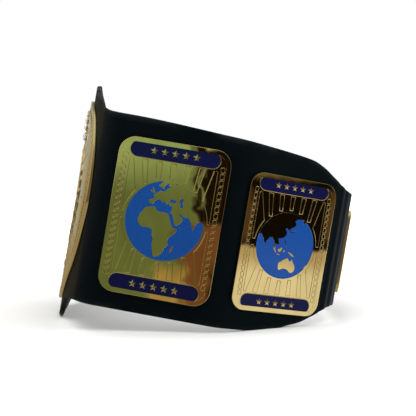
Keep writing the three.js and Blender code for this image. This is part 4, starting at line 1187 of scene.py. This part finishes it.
# Camera
CAMERA_PLACE = (0.93196, -0.07342, 0.13955)
CAMERA_YAW = 4.858
CAMERA_PITCH = 2.046
CAMERA_ROLL = -0.158
CAMERA_LENS = 77.419
camera = add_object("camera", bpy.data.cameras.new("camera"))
yaw, pitch = math.radians(CAMERA_YAW), math.radians(CAMERA_PITCH)
forward = Vector(
    (-math.cos(yaw) * math.cos(pitch), math.sin(yaw) * math.cos(pitch), -math.sin(pitch)))
turn = forward.to_track_quat("-Z", "Y").to_matrix()
camera.matrix_world = Matrix.Translation(CAMERA_PLACE) @ (
    turn @ Matrix.Rotation(math.radians(CAMERA_ROLL), 3, "Z")).to_4x4()
camera.data.sensor_width = 36
camera.data.lens = CAMERA_LENS
camera.data.clip_start = 0.01
bpy.context.scene.camera = camera

# Table, which glows to the backdrop's white far from the belt
pale, far, pale_surface = shader("pale table", {
    "Base Color": (0.82, 0.82, 0.81, 1), "Roughness": 0.7, "Emission Color": (1, 1, 1, 1)})
reach = far.add("VectorMath")
reach.operation = "LENGTH"
far.fill(reach, {0: far.add("TexCoord").outputs["Object"]})
far.fill(pale_surface, {"Emission Strength": far.step(reach.outputs["Value"], 0.35, 1.3)})
table_mesh = bpy.data.meshes.new("table")
table_mesh.from_pydata([(-6, -6, 0), (6, -6, 0), (6, 6, 0), (-6, 6, 0)], [], [(0, 1, 2, 3)])
table_mesh.materials.append(pale)
table = add_object("table", table_mesh)
table.visible_glossy = False

# Light
TABLE_SEEN = (0.34, 0.31, 0.26)
BACKDROP = (1.0, 1.0, 1.0)


def studio():
    """A soft room: what the polished plates see by direction, and a plain backdrop.

    A panel is a soft-edged patch of the room: its colour, its azimuth from and to, its elevation
    from and to, and how soft its edges are, all in degrees. Azimuth runs from +X towards +Y.
    """
    world = bpy.data.worlds.new("studio")
    bpy.context.scene.world = world
    world.use_nodes = True
    graph = Graph(world.node_tree)
    place = graph.add("TexCoord").outputs["Generated"]
    apart = graph.add("SeparateXYZ", {0: place}).outputs
    azimuth = graph.math("DEGREES", graph.math("ARCTAN2", apart["Y"], apart["X"]))
    elevation = graph.math("DEGREES", graph.math("ARCSINE", apart["Z"]))

    def uneven(across, rise, detail):
        """Noise over the room, its cells so many degrees across and high."""
        near = graph.add("CombineXYZ", {
            "X": graph.math("DIVIDE", azimuth, across),
            "Y": graph.math("DIVIDE", elevation, rise)})
        return graph.noise(near.outputs[0], 1.0, detail)

    # Nothing in the room has a ruled edge
    offset = graph.math("SUBTRACT", uneven(1.5, 1.8, 3.0), 0.5)
    azimuth = graph.math("MULTIPLY_ADD", offset, 2.2, azimuth)
    elevation = graph.math("MULTIPLY_ADD", offset, 0.7, elevation)

    room = TABLE_SEEN
    for colour, start, end in (((0.14, 0.12, 0.095), -13, -8), ((0.24, 0.24, 0.235), 8, 40),
                               ((0.62, 0.62, 0.61), 38, 62)):
        room = graph.mix(room, colour, graph.step(elevation, start, end))

    panels = (
        # Wall that the main plate's far side shows at a grazing angle, warmer low and near
        ((0.40, 0.40, 0.35), (-179, -146), (-12, 24), 3, 5),
        ((0.34, 0.25, 0.13), (-179, -146), (-14, -1.5), 3, 4),
        ((0.36, 0.28, 0.15), (-157, -140), (-14, 24), 5, 5),
        # Wall behind the tails
        ((0.16, 0.16, 0.165), (76, 172), (-14, 30), 8, 4),
        ((1.7, 1.74, 1.8), (104, 160), (10, 34), 14, 10),
        # Window light low behind the tails, for the sheen on the leather's back bend
        ((1.7, 1.8, 1.95), (98, 150), (-50, -9), 10, 6),
        # Dark wall opposite, for the sides of the fine relief lines
        ((0.08, 0.06, 0.03), (-82, -38), (-24, 12), 10, 8),
        # Pale table in front of the second side plate, brown where it ends
        ((0.80, 0.79, 0.76), (36, 76), (-90, -10.85), 6, 0.35),
        ((0.50, 0.42, 0.30), (36, 76), (-12.0, -10.4), 6, 1.6),
        # Dark doorway above it, with brown at its sides and a dull gold strip over it
        ((0.006, 0.0045, 0.002), (44, 66), (-10.85, 2), 4, 0.3),
        ((0.085, 0.05, 0.03), (44, 50.7), (-10.6, -5), 0.5, 1.0),
        ((0.10, 0.065, 0.035), (55.7, 66), (-10.6, -5), 0.5, 1.0),
        ((0.17, 0.135, 0.07), (44, 66), (-6.3, 1), 3, 0.5),
        # Dim olive wall that the first side plate shows, brighter towards its top
        ((0.13, 0.185, 0.08), (-34, -15.9), (-9, 30), 0.35, 3),
        ((0.31, 0.46, 0.25), (-34, -16.3), (3.6, 30), 0.5, 3.4),
        ((0.010, 0.006, 0.003), (-15.9, -10), (0.2, 10), 0.35, 0.6),
        # Pale gaps in the dark beside it
        ((0.22, 0.27, 0.15), (-15.5, -15.3), (1.6, 4.6), 0.25, 0.8),
        ((1.0, 0.95, 0.75), (-15.2, -14.4), (5.3, 12), 0.3, 0.6),
        # Warm wood low on the right of it, darker at its corner, and a gilt glow at its foot
        ((0.17, 0.078, 0.037), (-17.2, -8), (-12, 0.3), 1.2, 0.5),
        ((0.045, 0.022, 0.012), (-15.2, -8), (-12, -2.4), 0.6, 1.2),
        ((0.42, 0.31, 0.12), (-18.9, -16.6), (-6, -2.6), 0.5, 1.2),
        # Softbox in front
        ((0.85, 0.85, 0.83), (-128, -58), (9, 44), 12, 6),
    )
    for colour, (start, end), (low, high), soft_side, soft_rise in panels:
        side, rise = soft_side / 2, soft_rise / 2
        mask = graph.math("MULTIPLY", graph.step(azimuth, start - side, start + side),
                          graph.step(azimuth, end + side, end - side))
        mask = graph.math("MULTIPLY", mask, graph.step(elevation, low - rise, low + rise))
        mask = graph.math("MULTIPLY", mask, graph.step(elevation, high + rise, high - rise))
        room = graph.mix(room, colour, mask)

    # Faint upright streaks, as in any lived-in room; the camera sees the plain backdrop
    streaks = graph.add("VectorMath")
    streaks.operation = "SCALE"
    share = graph.math("MULTIPLY_ADD", uneven(1.1, 5.0, 2.0), 0.5, 0.75)
    graph.fill(streaks, {0: room, "Scale": share})
    seen = graph.add("LightPath").outputs["Is Camera Ray"]
    graph.fill(graph.nodes["Background"], {
        "Color": graph.mix(streaks.outputs["Vector"], BACKDROP, seen), "Strength": 1.0})


studio()
bpy.context.scene.view_settings.view_transform = "Standard"


def soft_light(name, place, target, size, power):
    data = bpy.data.lights.new(name, "AREA")
    data.shape = "RECTANGLE"
    data.size, data.size_y = size
    data.energy = power
    light = add_object(name, data)
    light.location = place
    light.rotation_euler = (Vector(target) - Vector(place)).to_track_quat("-Z", "Y").to_euler()
    light.visible_camera = False
    light.visible_glossy = False


soft_light("overhead", (0.2, 0.0, 1.6), (0, 0, 0.0), (2.4, 2.4), 46)
soft_light("behind the tails", (0.35, 1.1, 0.35), (0.08, 0.1, 0.1), (0.5, 0.6), 9)
